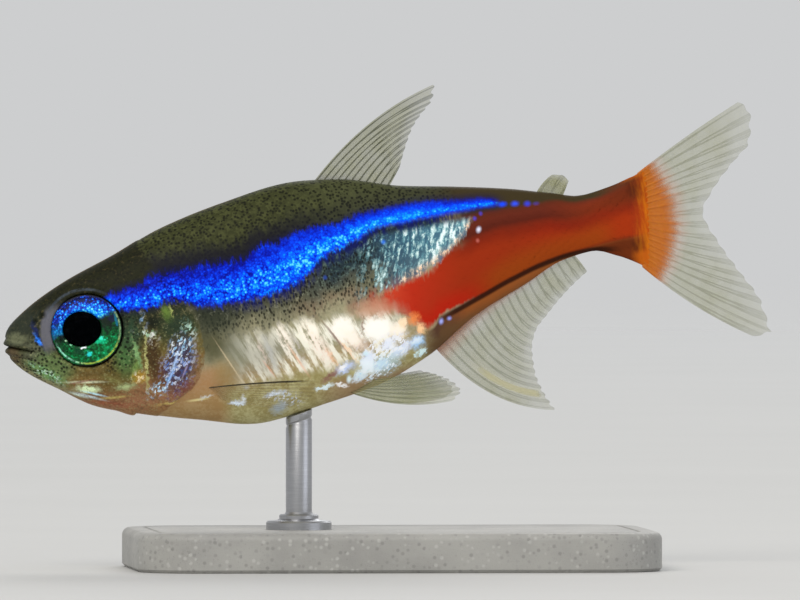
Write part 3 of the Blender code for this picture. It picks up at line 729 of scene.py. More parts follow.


# The head's patches, as for Patch. Most are its own colours; the faceted ones and the pale violet and blue lines on
# the gill cover are painted glints.
HEAD_PATCHES = (
    (0.5, 0.5, 1.3, 0.7, (48, 54, 44), 32, 0.5, 0.8), (0.56, 0.1, 0.42, 0.24, (114, 118, 90), -11, 0.6, 0.85),
    (0.3, -0.66, 0.42, 0.26, (92, 76, 56), -56, 0.6, 0.8), (1.2, -0.7, 0.5, 0.7, (98, 102, 82), -30, 0.8, 0.8),
    (2.0, -1.45, 0.85, 0.5, (108, 134, 84), -36, 0.6, 0.85), (1.5, -2.05, 1.6, 0.12, (158, 156, 116), -36, 0.9, 0.9),
    (4.9, -2.2, 1.3, 0.75, (104, 92, 48), 22, 0.6, 0.9), (5.2, -1.5, 0.5, 0.9, (80, 122, 70), -6, 0.7, 0.9),
    (5.15, -0.2, 0.4, 0.8, (36, 48, 34), -12, 0.8, 0.85), (5.7, -0.6, 0.4, 0.8, (48, 74, 54), -12, 0.8, 0.8),
    (5.72, -1.6, 0.1, 0.62, (140, 184, 122), 8, 0.8, 0.9), (5.5, -2.3, 0.12, 0.4, (132, 168, 88), -28, 0.8, 0.8),
    (5.63, -2.7, 0.3, 0.24, (186, 146, 54), -11, 0.7, 0.95),
    (5.6, -2.66, 0.3, 0.24, (240, 210, 96), 30, 0.6, 0.8, FACETED),
    (4.95, -2.98, 0.36, 0.13, (188, 208, 150), 2, 0.9, 0.9), (4.5, -2.62, 0.45, 0.1, (150, 150, 90), -36, 0.9, 0.5),
    (6.45, -1.9, 0.32, 1.15, (74, 54, 34), -4, 0.6, 0.9), (6.75, -2.7, 0.3, 0.6, (104, 66, 46), -18, 0.7, 0.8),
    (6.1, -2.0, 0.05, 1.25, (196, 196, 128), -8, 0.9, 0.95),
    (6.35, -0.75, 0.5, 0.16, (132, 190, 132), -20, 0.7, 0.9, FACETED),
    (6.62, -1.1, 0.25, 0.3, (176, 160, 100), 0, 0.6, 0.55, FACETED), (6.72, -0.3, 0.3, 0.3, (24, 28, 22), 0, 0.7, 0.9),
    (7.4, -0.02, 0.2, 0.38, (112, 140, 62), 8, 0.7, 0.95), (7.62, -0.02, 0.04, 0.3, (196, 206, 120), 8, 0.9, 0.9),
    (6.3, -0.1, 0.12, 0.3, (20, 130, 190), 8, 0.9, 0.9, FACETED), (7.8, -0.75, 0.75, 0.65, (42, 60, 46), 0, 0.8, 0.85),
    (8.25, -1.0, 0.22, 0.4, (172, 222, 196), 22, 0.8, 0.9, FACETED),
    (7.55, -2.45, 0.62, 1.2, (58, 52, 88), -24, 0.5, 0.85),
    (7.5, -2.5, 0.72, 1.3, (68, 124, 214), -24, 0.4, 0.88, FACETED),
    (7.8, -1.6, 0.45, 0.5, (140, 196, 226), -24, 0.5, 0.9, FACETED),
    (7.35, -2.3, 0.62, 0.05, (176, 206, 250), 62, 0.9, 0.85), (7.05, -2.9, 0.55, 0.05, (150, 190, 250), 56, 0.9, 0.85),
    (7.75, -2.75, 0.3, 0.04, (206, 196, 250), 58, 0.9, 0.5),
    (6.5, -3.35, 0.62, 0.28, (150, 206, 244), 22, 0.6, 1.0, FACETED),
    (7.6, -3.55, 0.7, 0.24, (124, 70, 62), 16, 0.8, 0.7), (1.6, -1.74, 0.85, 0.2, (122, 172, 104), -39, 0.8, 0.85),
    (1.6, -1.74, 0.8, 0.16, (140, 214, 160), -39, 0.8, 1.0, FACETED),
    (3.2, -2.4, 0.72, 0.05, (222, 226, 190), -10, 0.9), (3.0, -2.36, 0.5, 0.04, (150, 96, 84), 0, 0.9, 0.8),
    (3.25, -2.78, 0.5, 0.16, (222, 244, 196), -14, 0.6), (2.85, -2.95, 0.36, 0.05, (214, 232, 220), -28, 0.9),
    (3.35, -3.12, 0.6, 0.05, (206, 222, 226), -26, 0.9), (3.55, -3.02, 0.45, 0.04, (196, 236, 250), -24, 0.9),
    (4.4, -3.35, 0.5, 0.05, (206, 186, 110), -6, 0.9, 0.9), (4.1, -3.6, 0.9, 0.1, (176, 96, 70), -16, 0.9, 0.6),
    (1.5, 0.0, 0.1, 0.6, (20, 34, 92), 12, 0.8, 0.95), (1.44, -0.14, 0.26, 0.1, (40, 130, 255), -69, 0.7),
    (7.45, -4.16, 0.9, 0.07, (226, 206, 120), -4, 0.9), (8.4, -4.14, 0.5, 0.07, (206, 204, 190), 0, 0.8, 0.9, FACETED),
)

# The body's patches, as for Patch. Some are its own colours, such as the orange, blue and violet spots; the white
# blobs over the rear flank and the white, cyan and lilac flecks along the belly are painted highlights and glints,
# standing in for light off the silvery skin.
BODY_PATCHES = (
    (9.4, -0.75, 1.0, 0.55, (50, 56, 44), 0, 0.9, 0.7), (8.1, -4.2, 0.4, 0.05, (224, 210, 150), -3, 0.9),
    (8.5, -4.16, 0.3, 0.06, (214, 214, 206), 0, 0.8, 0.9), (17.2, -1.62, 0.5, 0.26, (200, 98, 66), -24, 0.9, 0.6),
    (10.26, -2.5, 0.65, 0.95, (140, 142, 124), -11, 0.7, 0.6), (9.5, -3.25, 0.5, 0.55, (160, 132, 80), 0, 0.8, 0.6),
    (11.6, -2.7, 0.75, 0.95, (150, 148, 134), -30, 0.7, 0.55),
    (9.83, -2.81, 0.96, 0.03, (214, 196, 160), -67, 0.9, 0.75),
    (11.42, -2.8, 0.85, 0.08, (212, 198, 184), -74, 0.7, 0.9, STREAKED),
    (11.75, -2.75, 0.75, 0.12, (196, 196, 190), -80, 0.8, 0.8, STREAKED),
    (11.55, -3.4, 0.4, 0.04, (232, 164, 128), -62, 0.9, 0.5),
    (12.5, -2.3, 0.7, 0.22, (250, 240, 226), -80, 0.7, 0.95, STREAKED),
    (12.97, -2.75, 0.7, 0.12, (206, 200, 192), -76, 0.8, 0.85, STREAKED),
    (12.95, -3.3, 0.7, 0.05, (238, 182, 148), -66, 0.9, 0.6),
    (13.7, -2.1, 0.6, 0.36, (255, 248, 232), -68, 0.6, 0.95, STREAKED),
    (14.05, -2.95, 0.9, 0.26, (250, 236, 222), -66, 0.7, 0.9, STREAKED),
    (14.5, -3.5, 0.5, 0.07, (242, 186, 144), -60, 0.9, 0.6), (15.2, -3.2, 0.62, 0.07, (255, 212, 174), -58, 0.9, 0.75),
    (16.7, -1.7, 0.8, 0.35, (206, 152, 124), -11, 0.9, 0.8), (15.9, -3.2, 0.42, 0.3, (190, 160, 134), -11, 0.7, 0.8),
    (15.2, -2.33, 0.56, 0.5, (255, 250, 240), -61, 0.5), (15.5, -2.75, 0.6, 0.3, (255, 244, 230), -50, 0.6, 0.95),
    (16.75, -2.62, 0.8, 0.5, (255, 252, 244), -11, 0.45), (17.7, -2.85, 0.35, 0.35, (255, 244, 226), -11, 0.6),
    (16.08, -2.3, 0.04, 0.42, (150, 112, 92), -14, 0.9, 0.8), (14.75, -2.5, 0.7, 0.05, (130, 96, 78), -62, 0.9, 0.8),
    (17.0, -3.4, 1.1, 0.42, (214, 224, 244), 6, 0.6, 0.9, FACETED),
    (17.1, -3.5, 0.9, 0.3, (255, 255, 255), 6, 0.6, 1.0, FACETED),
    (17.99, -2.57, 0.18, 0.25, (255, 226, 190), -11, 0.7, 0.95),
    (18.5, -2.5, 0.24, 0.26, (238, 140, 76), -51, 0.8, 0.9), (18.77, -3.0, 0.22, 0.22, (255, 206, 154), -11, 0.7),
    (18.5, -3.56, 0.36, 0.28, (168, 206, 240), 29, 0.6), (18.45, -3.5, 0.22, 0.14, (226, 240, 255), 29, 0.9),
    (18.6, -4.1, 0.3, 0.14, (222, 250, 255), 26, 0.5), (17.7, -3.75, 0.5, 0.26, (222, 232, 255), 24, 0.6, 0.9),
    (16.99, -4.3, 0.75, 0.34, (186, 218, 232), 24, 0.5, 0.6),
    (16.9, -4.35, 0.9, 0.4, (200, 226, 244), 24, 0.6, 1.0, FACETED),
    (16.7, -4.1, 1.3, 0.5, (236, 248, 255), 24, 0.4, 1.0, FACETED),
    (16.11, -3.98, 0.3, 0.4, (226, 236, 255), -11, 0.5, 0.95), (16.06, -3.6, 0.14, 0.11, (214, 236, 250), -11, 0.8),
    (16.0, -4.27, 0.42, 0.32, (236, 248, 255), 24, 0.6, 0.95), (16.7, -4.25, 0.4, 0.24, (206, 232, 250), 24, 0.7, 0.9),
    (15.55, -4.62, 0.3, 0.18, (224, 242, 255), 20, 0.7, 0.9), (17.12, -3.4, 0.38, 0.2, (230, 238, 255), 20, 0.7, 0.85),
    (15.0, -4.1, 0.46, 0.2, (196, 212, 246), 14, 0.6, 0.95), (14.9, -4.05, 0.2, 0.1, (255, 255, 255), 14, 0.9),
    (15.71, -4.66, 0.46, 0.18, (196, 224, 244), -16, 0.6, 1.0, FACETED),
    (15.11, -4.62, 0.1, 0.16, (230, 250, 255), -11, 0.8), (13.95, -4.78, 0.42, 0.09, (232, 250, 255), 6, 0.6),
    (14.75, -4.86, 0.27, 0.09, (255, 255, 255), -20, 0.7), (14.3, -4.3, 0.4, 0.12, (150, 96, 96), 30, 0.8, 0.8),
    (9.9, -4.72, 0.32, 0.12, (226, 240, 255), -10, 0.6), (10.15, -4.6, 0.1, 0.18, (236, 246, 255), 0, 0.9, 0.9),
    (11.7, -4.7, 0.62, 0.2, (196, 210, 232), -3, 0.6, 1.0, FACETED),
    (11.65, -4.62, 0.4, 0.09, (222, 236, 255), 0, 0.9, 0.8), (11.75, -5.3, 0.4, 0.24, (176, 192, 206), 14, 0.7, 0.8),
    (12.35, -5.05, 0.5, 0.3, (190, 206, 220), -11, 0.6, 0.9, FACETED),
    (10.38, -4.06, 0.11, 0.09, (200, 200, 190), -11, 0.8, 0.8),
    (19.79, -2.84, 0.09, 0.12, (170, 180, 255), -20, 0.9, 0.95),
    (20.19, -2.78, 0.09, 0.08, (160, 170, 250), 0, 0.9, 0.9),
    (22.28, 0.97, 0.09, 0.12, (226, 228, 250), -30, 0.9, 0.95),
    (22.13, 0.48, 0.07, 0.08, (206, 112, 100), 0, 0.9, 0.7), (22.2, 1.5, 0.07, 0.08, (84, 70, 215), 0, 0.9, 0.8),
    (22.52, 1.67, 0.07, 0.08, (84, 70, 215), 0, 0.9, 0.7), (23.6, 1.89, 0.17, 0.1, (20, 70, 245), -4, 0.9),
    (24.18, 1.8, 0.15, 0.1, (50, 80, 240), -4, 0.9, 0.95), (24.75, 1.69, 0.13, 0.1, (56, 66, 220), -4, 0.9, 0.9),
    (25.15, 1.62, 0.12, 0.07, (84, 66, 180), -8, 0.9, 0.5), (17.82, 1.27, 0.09, 0.09, (50, 120, 240), 0, 0.9, 0.8),
    (14.85, 0.2, 0.08, 0.08, (40, 80, 190), 0, 0.9, 0.6),
)

TAIL_PATCHES = (
    (29.3, 1.4, 0.9, 0.5, (108, 42, 14), 14, 0.9, 0.8), (29.8, 1.3, 0.34, 0.36, (84, 32, 10), 10, 0.9, 0.85),
    (29.1, -1.15, 0.9, 0.3, (104, 44, 14), -12, 0.9, 0.8), (29.6, -1.3, 0.32, 0.26, (76, 32, 10), -10, 0.9, 0.9),
)


class Markings(Paint):
    """Paints the fish's skin and scales alike, from their places in the fish's frame."""

    def __init__(self, name: str) -> None:
        """Readies the coordinates and the grains of a material.

        Args:
            name: The material's name.
        """
        super().__init__(name)
        place = self.place = self.attribute("fish_place")
        s, y, h = self.s, self.y, self.h = self.parts(place)
        self.drift = self.noise(place, 1.3, 3.0) - 0.5
        self.fine = self.noise(place, 7.0, 3.0, 0.65)
        self.streaks = self.noise(self.stretched(place, (5.0, 2.0, 1.2)), 1.0, 3.0, 0.6)
        sockets = {"Vector": place, "Scale": 3.6, "Detail": 4.0, "Roughness": 0.7}
        pulls = self.channels(self.node("ShaderNodeTexNoise", {}, sockets).outputs["Color"])
        pulled_s, pulled_h = s + (pulls[0] - 0.5) * 0.5, h + (pulls[1] - 0.5) * 0.5
        self.side_view = self.vector(pulled_s, pulled_h, y)
        self.stipple = self.dots(place, 6.6, (0.58, 0.28), (0.05, 0.35))
        distance, own = self.cells(place, 9.0)
        self.granules = (1.2 - distance * 1.25) * (own * 0.9 + 0.35)
        self.dashes = self.dots(self.stretched(place, (8.2, 5.0, 5.2)), 1.0, (0.54, 0.28), (0.0, 0.3))
        self.flecks, self.fleck_hue = self.facets(52.0, (0.24, 0.095), 0.62)
        self.patch_view = self.vector(pulled_s + self.fleck_hue * 0.05, pulled_h, y)
        self.straight_view = self.vector(s + self.fine * 0.05, h + self.fine * 0.05, y)
        self.colour: object = None

    def dots(self, vector: object, scale: float, edge: Place, share: Place) -> Wire:
        """Scatters soft dots, over a share of the places that could have one."""
        distance, own = self.cells(vector, scale)
        return distance.step(*edge) * own.step(*share)

    def facets(self, turn: float, size: Place, share: float) -> tuple[Wire, Wire]:
        """Scatters leaning flecks, which faceted patches tint toward white as painted glints.

        Args:
            turn: Their lean in degrees.
            size: Their spacing along and across the lean.
            share: The share of places that has one.

        Returns:
            Where they are, and each one's own random number from 0 to 1.
        """
        distance, own = self.cells(self.oval_place(self.side_view, turn, (*size, size[1])), 1.0)
        bare = 1.0 - share
        return distance.step(0.68, 0.36) * own.step(bare - 0.08, bare + 0.08), (own - bare) / share

    def lay(self, mask: Value, colour: object) -> None:
        """Lays a colour over what is there, where a mask is 1."""
        self.colour = self.mix(mask, self.colour, colour)

    def lay_patches(self, rows: Sequence[tuple], within: Value = 1.0) -> None:
        """Lays patches in order, inside a mask.

        Args:
            rows: The values of each patch.
            within: The mask.
        """
        for patch in (Patch(*row) for row in rows):
            small = patch.width < 0.06 or max(patch.length, patch.width) < 0.18
            spread = 1.0 + patch.softness
            scale = (patch.length * spread, patch.width * spread, FAR_DEPTH)
            view = self.straight_view if small else self.patch_view
            oval = self.oval_place(view, patch.turn, scale, (patch.s, patch.h))
            inward = self.wire("ShaderNodeTexGradient", {"gradient_type": "SPHERICAL"}, {0: oval}, "Fac")
            mask = inward.step(0.0, 2.0 * patch.softness / spread) * within
            colour: object = patch.colour
            # Faceted patches are painted glints: the colour lies only on the flecks, each tinted toward white by its
            # own number.
            if patch.grain is FACETED:
                mask = mask * self.flecks
                colour = self.mix(self.fleck_hue * 0.75, colour, (250, 252, 255))
            if patch.grain is STREAKED:
                mask = mask * self.rib_streaks
            self.lay(mask * patch.strength if patch.strength < 1.0 else mask, colour)

    def ground(self) -> None:
        """Paints the back with its scales and black specks, the flank and the belly."""
        s, h, fine, drift = self.s, self.h, self.fine, self.drift
        self.upper, self.lower = self.curve(s, STRIPE_UPPER), self.curve(s, STRIPE_LOWER)
        flank = self.mix((h + drift).step(-2.6, -3.6), (160, 156, 124), (180, 150, 106))
        flank = self.mix(fine.step(0.35, 0.65) * 0.5, flank, (186, 176, 144))
        belly = self.mix((fine + drift).step(0.3, 0.7), (170, 158, 104), (196, 190, 140))
        self.colour = self.mix((h + drift * 0.5 + (s - 12.0) * -0.06).step(-3.2, -4.4), flank, belly)
        rusty = (h + drift).step(-2.4, -3.2) * s.step(9.8, 8.9)
        self.lay(rusty * 0.6, (178, 128, 84))
        gill_shade = (s + drift * 1.4).step(11.6, 9.2) * (h + drift).step(-3.0, -2.0)
        self.lay(gill_shade * 0.9, (82, 82, 56))
        rear_keel = (h + drift * 0.5).step(-4.3, -4.9) * s.step(13.0, 15.0)
        self.lay(rear_keel * 0.7, (170, 132, 102))
        along, across, _up = self.parts(self.attribute("scale_place"))
        middle = self.length((along - 0.2) * 2.9, across * 2.9).step(1.0, 0.3)
        middle = middle * s.step(23.0, 15.0) * (fine + drift * 0.5).step(0.3, 0.6)
        back = self.mix(middle * 0.6, (54, 57, 30), (84, 88, 50))
        back = self.mix(s.step(13.0, 17.0) * 0.5, back, (82, 86, 58))
        back = self.mix(s.step(18.5, 24.0) * 0.8, back, (54, 50, 34))
        above = (h - self.lower + drift * 0.2).step(-0.1, 0.15)
        self.lay(above, back)
        self.lay(above * self.stipple * 0.85, (18, 20, 11))
        shade = (h - self.upper + (self.streaks - 0.5) * 0.8).step(1.25, 0.4)
        self.lay(above * shade * (0.9 - s.step(12.0, 18.0) * 0.66), (24, 23, 33))

    def dusk(self) -> None:
        """Paints the dark zone below the stripe with its upright dashes, and the teal one behind it."""
        s, fine, drift = self.s, self.fine, self.drift
        below = self.h - self.lower
        depth = self.curve(s, DUSK_DEPTH)
        under = below.step(0.1, -0.1)
        zone = (below + depth + drift * 1.2 + (self.streaks - 0.5) * 1.2).step(-0.3, 0.9) * under
        zone = zone * s.window((8.2, 9.0), (21.5, 20.0))
        self.lay(zone * 0.85, self.mix((below / depth).step(-0.1, -1.0), (46, 52, 42), (106, 106, 84)))
        self.lay(zone * fine.step(0.54, 0.66) * 0.6, (146, 148, 124))
        reddish = zone * s.step(12.5, 14.5) * (self.h + drift).step(-0.4, -1.2)
        self.lay(reddish * 0.75, (140, 102, 82))
        teal = zone * s.step(13.3, 15.4) * (below + drift * 0.8).step(-2.0, -0.9)
        self.lay(teal * 0.9, self.mix(fine.step(0.45, 0.68), (30, 48, 60), (70, 98, 96)))
        reach = (below + depth + 0.3 + drift).step(-0.2, 0.9) * under
        self.lay(reach * self.dashes * s.window((8.2, 9.5), (19.5, 17.5)) * 0.85, (24, 24, 19))
        fringe = below.window((-0.75, -0.05), (0.1, -0.05)) * s.window((9.5, 12.0), (23.0, 21.0))
        self.lay(fringe * self.streaks.step(0.4, 0.55) * 0.9, (16, 26, 100))

    def ribs(self) -> None:
        """Paints the silver streaks that lean over the ribs."""
        leaning = self.vector(self.s + self.h * 0.36, self.h, self.y)
        sheet = self.noise(self.stretched(leaning, (3.3, 0.6, 2.0)), 1.0, 4.0, 0.66)
        self.rib_streaks = (sheet + self.fine * 0.4).step(0.46, 0.7)
        self.view_streaks = (sheet - 0.5) * 0.5
        room = (self.h + self.drift).window((-1.4, -2.1), (-4.3, -3.6)) * self.s.window((9.6, 11.0), (18.5, 17.0))
        self.lay(room * sheet.step(0.40, 0.57) * 0.92, (246, 243, 226))

    def red(self) -> None:
        """Paints the red of the rear with its brown upper band, the keel and the tail's root."""
        s, h, drift = self.s, self.h, self.drift
        over, under, band = (self.curve(s, line) for line in (RED_UPPER, RED_LOWER, BAND_UPPER))
        depth, rise = over - h + drift * 0.3, h - under
        rear = (s + drift * 2.0).step(20.2, 22.2)
        browns = self.ramp((depth + 1.4) / 1.6, BAND_COLOURS)
        self.lay(rear, (62, 52, 30))
        self.lay(rear * (band - h + drift * 0.15).step(-0.12, 0.12), browns)
        self.lay(rear * (band - h).step(-0.12, 0.3) * s.step(25.0, 28.0) * 0.6, (140, 50, 14))
        keel = (s + drift).step(18.3, 19.5) * rise.step(0.05, -0.15)
        olive = (under - h + drift * 0.4).step(0.25, 0.9)
        pale = self.mix((s + drift).step(19.5, 21.5), (96, 66, 50), (164, 92, 42))
        self.lay(keel, self.mix(olive * 0.7, pale, (116, 88, 56)))
        self.lay(keel * (s + drift).step(26.0, 27.4), (116, 50, 18))
        self.lay(self.red_mask(depth, rise), self.warm(depth, rise))
        line = abs(h - self.curve(s, ANAL_LINE)).step(0.2, 0.05)
        self.lay(line * s.window((19.2, 20.6), (29.0, 28.0)) * 0.95, (52, 22, 8))
        self.lay_patches(TAIL_PATCHES)
        edge = s - h * 0.16 + (self.streaks - 0.5) * 0.7 + drift * 0.4
        self.lay(edge.step(29.3, 30.5), self.mix(self.streaks.step(0.35, 0.65), (190, 84, 4), (208, 112, 8)))
        rims = abs(h - 0.05 - (s - 28.4) * 0.1).step(1.5, 1.85) * s.step(28.9, 29.5)
        self.lay(rims * 0.8, (196, 96, 14))

    def red_mask(self, depth: Wire, rise: Wire) -> Wire:
        """Finds where the red is: ragged and soft in front, firm behind.

        Args:
            depth: How far below the red's upper line a place is.
            rise: How far above its lower line.

        Returns:
            The red's mask.
        """
        s, drift = self.s, self.drift
        ragged = (self.streaks - 0.5) * self.curve(s, RED_RAGGEDNESS)
        soft = (depth + ragged).step(-0.3, 0.36) * (rise + ragged * 0.4).step(-0.14, 0.16)
        low_front = s.step(19.8, 18.0) * 0.7 + 0.15
        soft = soft * ((rise + ragged * 0.5 + drift * low_front) / low_front).step(-0.9, 1.1)
        return soft * (s + drift * 2.0 + (self.fine - 0.5) * 1.6).step(15.5, 18.0)

    def warm(self, depth: Wire, rise: Wire) -> object:
        """Finds the red's own shades, from its depth and rise as for the mask.

        Args:
            depth: How far inside the red's upper edge.
            rise: How far above its lower edge.

        Returns:
            The colour.
        """
        s = self.s
        colour = self.ramp((s - 16.0) / 14.0, RED_COLOURS)
        low = rise.step(1.5, 0.4) * s.window((21.0, 23.0), (29.0, 27.5))
        colour = self.mix(low * 0.7, colour, (160, 72, 12))
        colour = self.mix(rise.step(1.1, 0.2) * s.step(22.8, 20.5) * 0.7, colour, (194, 28, 8))
        return self.mix(depth.step(0.8, 0.1) * s.step(20.0, 22.0) * 0.6, colour, (112, 26, 10))

    def mint(self) -> None:
        """Paints the pale leaning flecks between the stripe and the red, partly the skin's own pale colour and partly
        painted glints.
        """
        s, h = self.s, self.h
        above = h - self.curve(s, MINT_EDGE)
        bands = self.noise(self.vector(s * 5.4 - h * 1.9, h * 1.3 + s * 0.4, self.y), 1.0, 2.0, 0.5)
        zone = (above + (self.streaks - 0.5) * 0.8).step(-0.2, 0.1) * (self.lower - h).step(0.2, 0.6)
        zone = zone * s.step(22.3, 21.6)
        flecks, hue = self.facets(66.0, (0.26, 0.1), 0.8)
        dense = bands * 1.3 + self.curve(s, MINT_THICKNESS) + (flecks - 0.5) * 0.2 + self.fine * 0.4
        pale = self.ramp((dense - 0.85) * 1.5 + hue * 0.25, MINT_COLOURS)
        # Painted glints: warm, pale flecks along the red's upper border.
        border = (above + self.drift * 0.6).step(0.4, 0.05) * s.step(17.8, 18.6)
        pale = self.mix(border * (0.4 + flecks * 0.6), pale, (255, 208, 168))
        self.lay(zone * s.step(16.8, 18.4) * 0.8, self.mix(s.step(18.0, 20.5), (56, 92, 116), (76, 122, 146)))
        self.lay(zone * dense.step(0.74, 1.3) * s.step(15.5, 17.5), pale)

    def stripe(self) -> None:
        """Paints the electric blue stripe with its granular shine: the blue is its own colour, its bright azure and
        cyan granules are painted glints.
        """
        s, h = self.s, self.h
        flame = self.noise(self.stretched(self.place, (7.0, 2.0, 2.2)), 1.0, 3.0, 0.65) - 0.5
        ragged = flame * self.curve(s, STRIPE_RAGGEDNESS)
        mask = (h - self.upper + ragged).step(0.14, -0.16) * (h - self.lower - ragged * 0.8).step(-0.14, 0.16)
        mask = mask * s.window((4.55, 4.75), (23.6, 23.1))
        across = (h - self.lower) / (self.upper - self.lower).most(0.2)
        # Painted glints: bright granules lift the blue toward azure and cyan.
        grain = (self.noise(self.place, 3.4, 3.0, 0.7) - 0.5) * 2.4 + (self.granules - 0.45) * 0.9
        level = self.curve(across, SHINE_ACROSS) * (1.0 + grain * (1.2 - s.step(14.0, 19.0) * 0.6))
        level = level + self.drift * 0.4 + self.curve(s, SHINE_ALONG)
        halo = (h - self.upper).step(0.4, 0.0) * (h - self.lower).step(-0.4, 0.1)
        self.lay(halo * s.window((4.7, 5.5), (24.0, 23.0)) * 0.55, (8, 10, 66))
        self.lay(mask, self.ramp(level, STRIPE_COLOURS))

    def head(self) -> None:
        """Paints the head's ground: pale at the throat and dark at the crown, with black specks and paler mottles."""
        h, fine, drift = self.h, self.fine, self.drift
        edge = self.curve(h, GILL_EDGE)
        head = self.on_head = (self.s - edge + (fine - 0.5) * 0.9 + drift * 0.5).step(0.2, -0.25)
        self.lay(head, self.ramp((h + 4.8) / 8.0 + drift * 0.1, HEAD_COLOURS))
        crown = head * (h - self.upper).step(0.0, 0.6)
        self.lay(crown * self.stipple * 0.7, (20, 21, 13))
        self.lay(crown * fine.step(0.56, 0.7) * 0.5, (84, 74, 44))
        self.lay(head * (h + drift).step(1.4, 0.2) * fine.step(0.5, 0.68) * 0.5, (150, 140, 96))

    def face(self) -> None:
        """Paints the head's patches, with the painted glints on its cheek, jaw and gill cover among them, and its
        black specks.
        """
        head, h, drift, granules = self.on_head, self.h, self.drift, self.granules
        self.lay_patches(HEAD_PATCHES, head)
        self.lay(head * granules.step(0.36, 0.1) * 0.3, (26, 30, 18))
        self.lay(head * granules.step(0.66, 0.95) * (h + drift).step(0.1, -0.8) * 0.3, (170, 172, 122))
        specks = self.stipple * head * (h + drift * 2.0).step(-2.6, -1.6)
        self.lay(specks * self.s.step(7.5, 5.0) * (h - self.upper).step(0.6, 0.0) * 0.85, (20, 19, 16))

    def orbit(self) -> None:
        """Paints the pale crescent before the eye, the thin arc above it and the dark groove behind it."""
        away = self.length(self.s - EYE_CENTRE[0] + 0.05, (self.h - EYE_CENTRE[1]) * 1.02)
        front = (self.s - self.h * 0.2).step(3.4, 2.3)
        level = self.h + self.drift * 0.5
        crescent = away.window((1.5, 1.56), (2.18, 2.0)) * front * level.window((-0.95, -0.3), (1.5, 0.8))
        self.lay(crescent * 0.85, (110, 110, 120))
        arc = abs(away - 1.92).step(0.1, 0.02) * level.step(0.6, 1.2) * self.s.step(5.0, 4.2)
        self.lay(arc * (self.fine + 0.1).step(0.35, 0.7) * 0.45, (84, 96, 112))
        self.lay(away.step(1.75, 1.65) * (1.0 - front) * (0.95 - level.step(1.0, 1.5) * 0.4), (12, 12, 10))

    def rim_light(self) -> None:
        """Paints painted light: a warm glow along the back's thin front edge, where light shines through the skin."""
        rise = self.h - self.curve(self.s, [(s, back) for s, back, _belly, _half in STATIONS])
        self.lay(rise.step(-0.04, -0.005) * self.s.window((0.2, 1.2), (14.0, 10.0)) * 0.35, (112, 84, 34))

    def spots(self) -> None:
        """Paints the body's patches, with painted highlights and glints on the rear flank and the belly among them."""
        s, h, y = self.parts(self.patch_view)
        self.patch_view = self.vector(s + self.view_streaks, h + (self.fine - 0.5) * 0.3, y)
        self.lay_patches(BODY_PATCHES)

    def skin(self) -> Material:
        """Returns the skin's material: the body's broad markings and the whole head."""
        layers = (self.ground, self.dusk, self.red, self.head, self.face, self.stripe, self.orbit, self.rim_light)
        return self.laid(layers)

    def scales(self) -> Material:
        """Returns the scales' material: all of the body's markings."""
        layers = (self.ground, self.dusk, self.ribs, self.red, self.mint, self.stripe, self.spots, self.rim_light)
        return self.laid(layers)

    def laid(self, layers: Sequence[Callable[[], None]]) -> Material:
        """Lays markings in order and finishes the material.

        Args:
            layers: Methods that each lay one marking over those before.

        Returns:
            The material.
        """
        for layer in layers:
            layer()
        # Painted glow: the brightest colours, the stripe's blue and the white and cyan glints, also give off light as
        # emission.
        glow = self.glow(self.colour, 0.3)
        return self.finish({
            "Base Color": self.colour, "Roughness": 0.52 - glow * 0.1, "Specular IOR Level": 0.08,
            "Emission Color": self.mix(glow, (0, 0, 0), self.colour), "Emission Strength": 0.2,
            "Normal": self.bump(self.fine * 0.6 + self.streaks * 0.4, 0.2),
        })


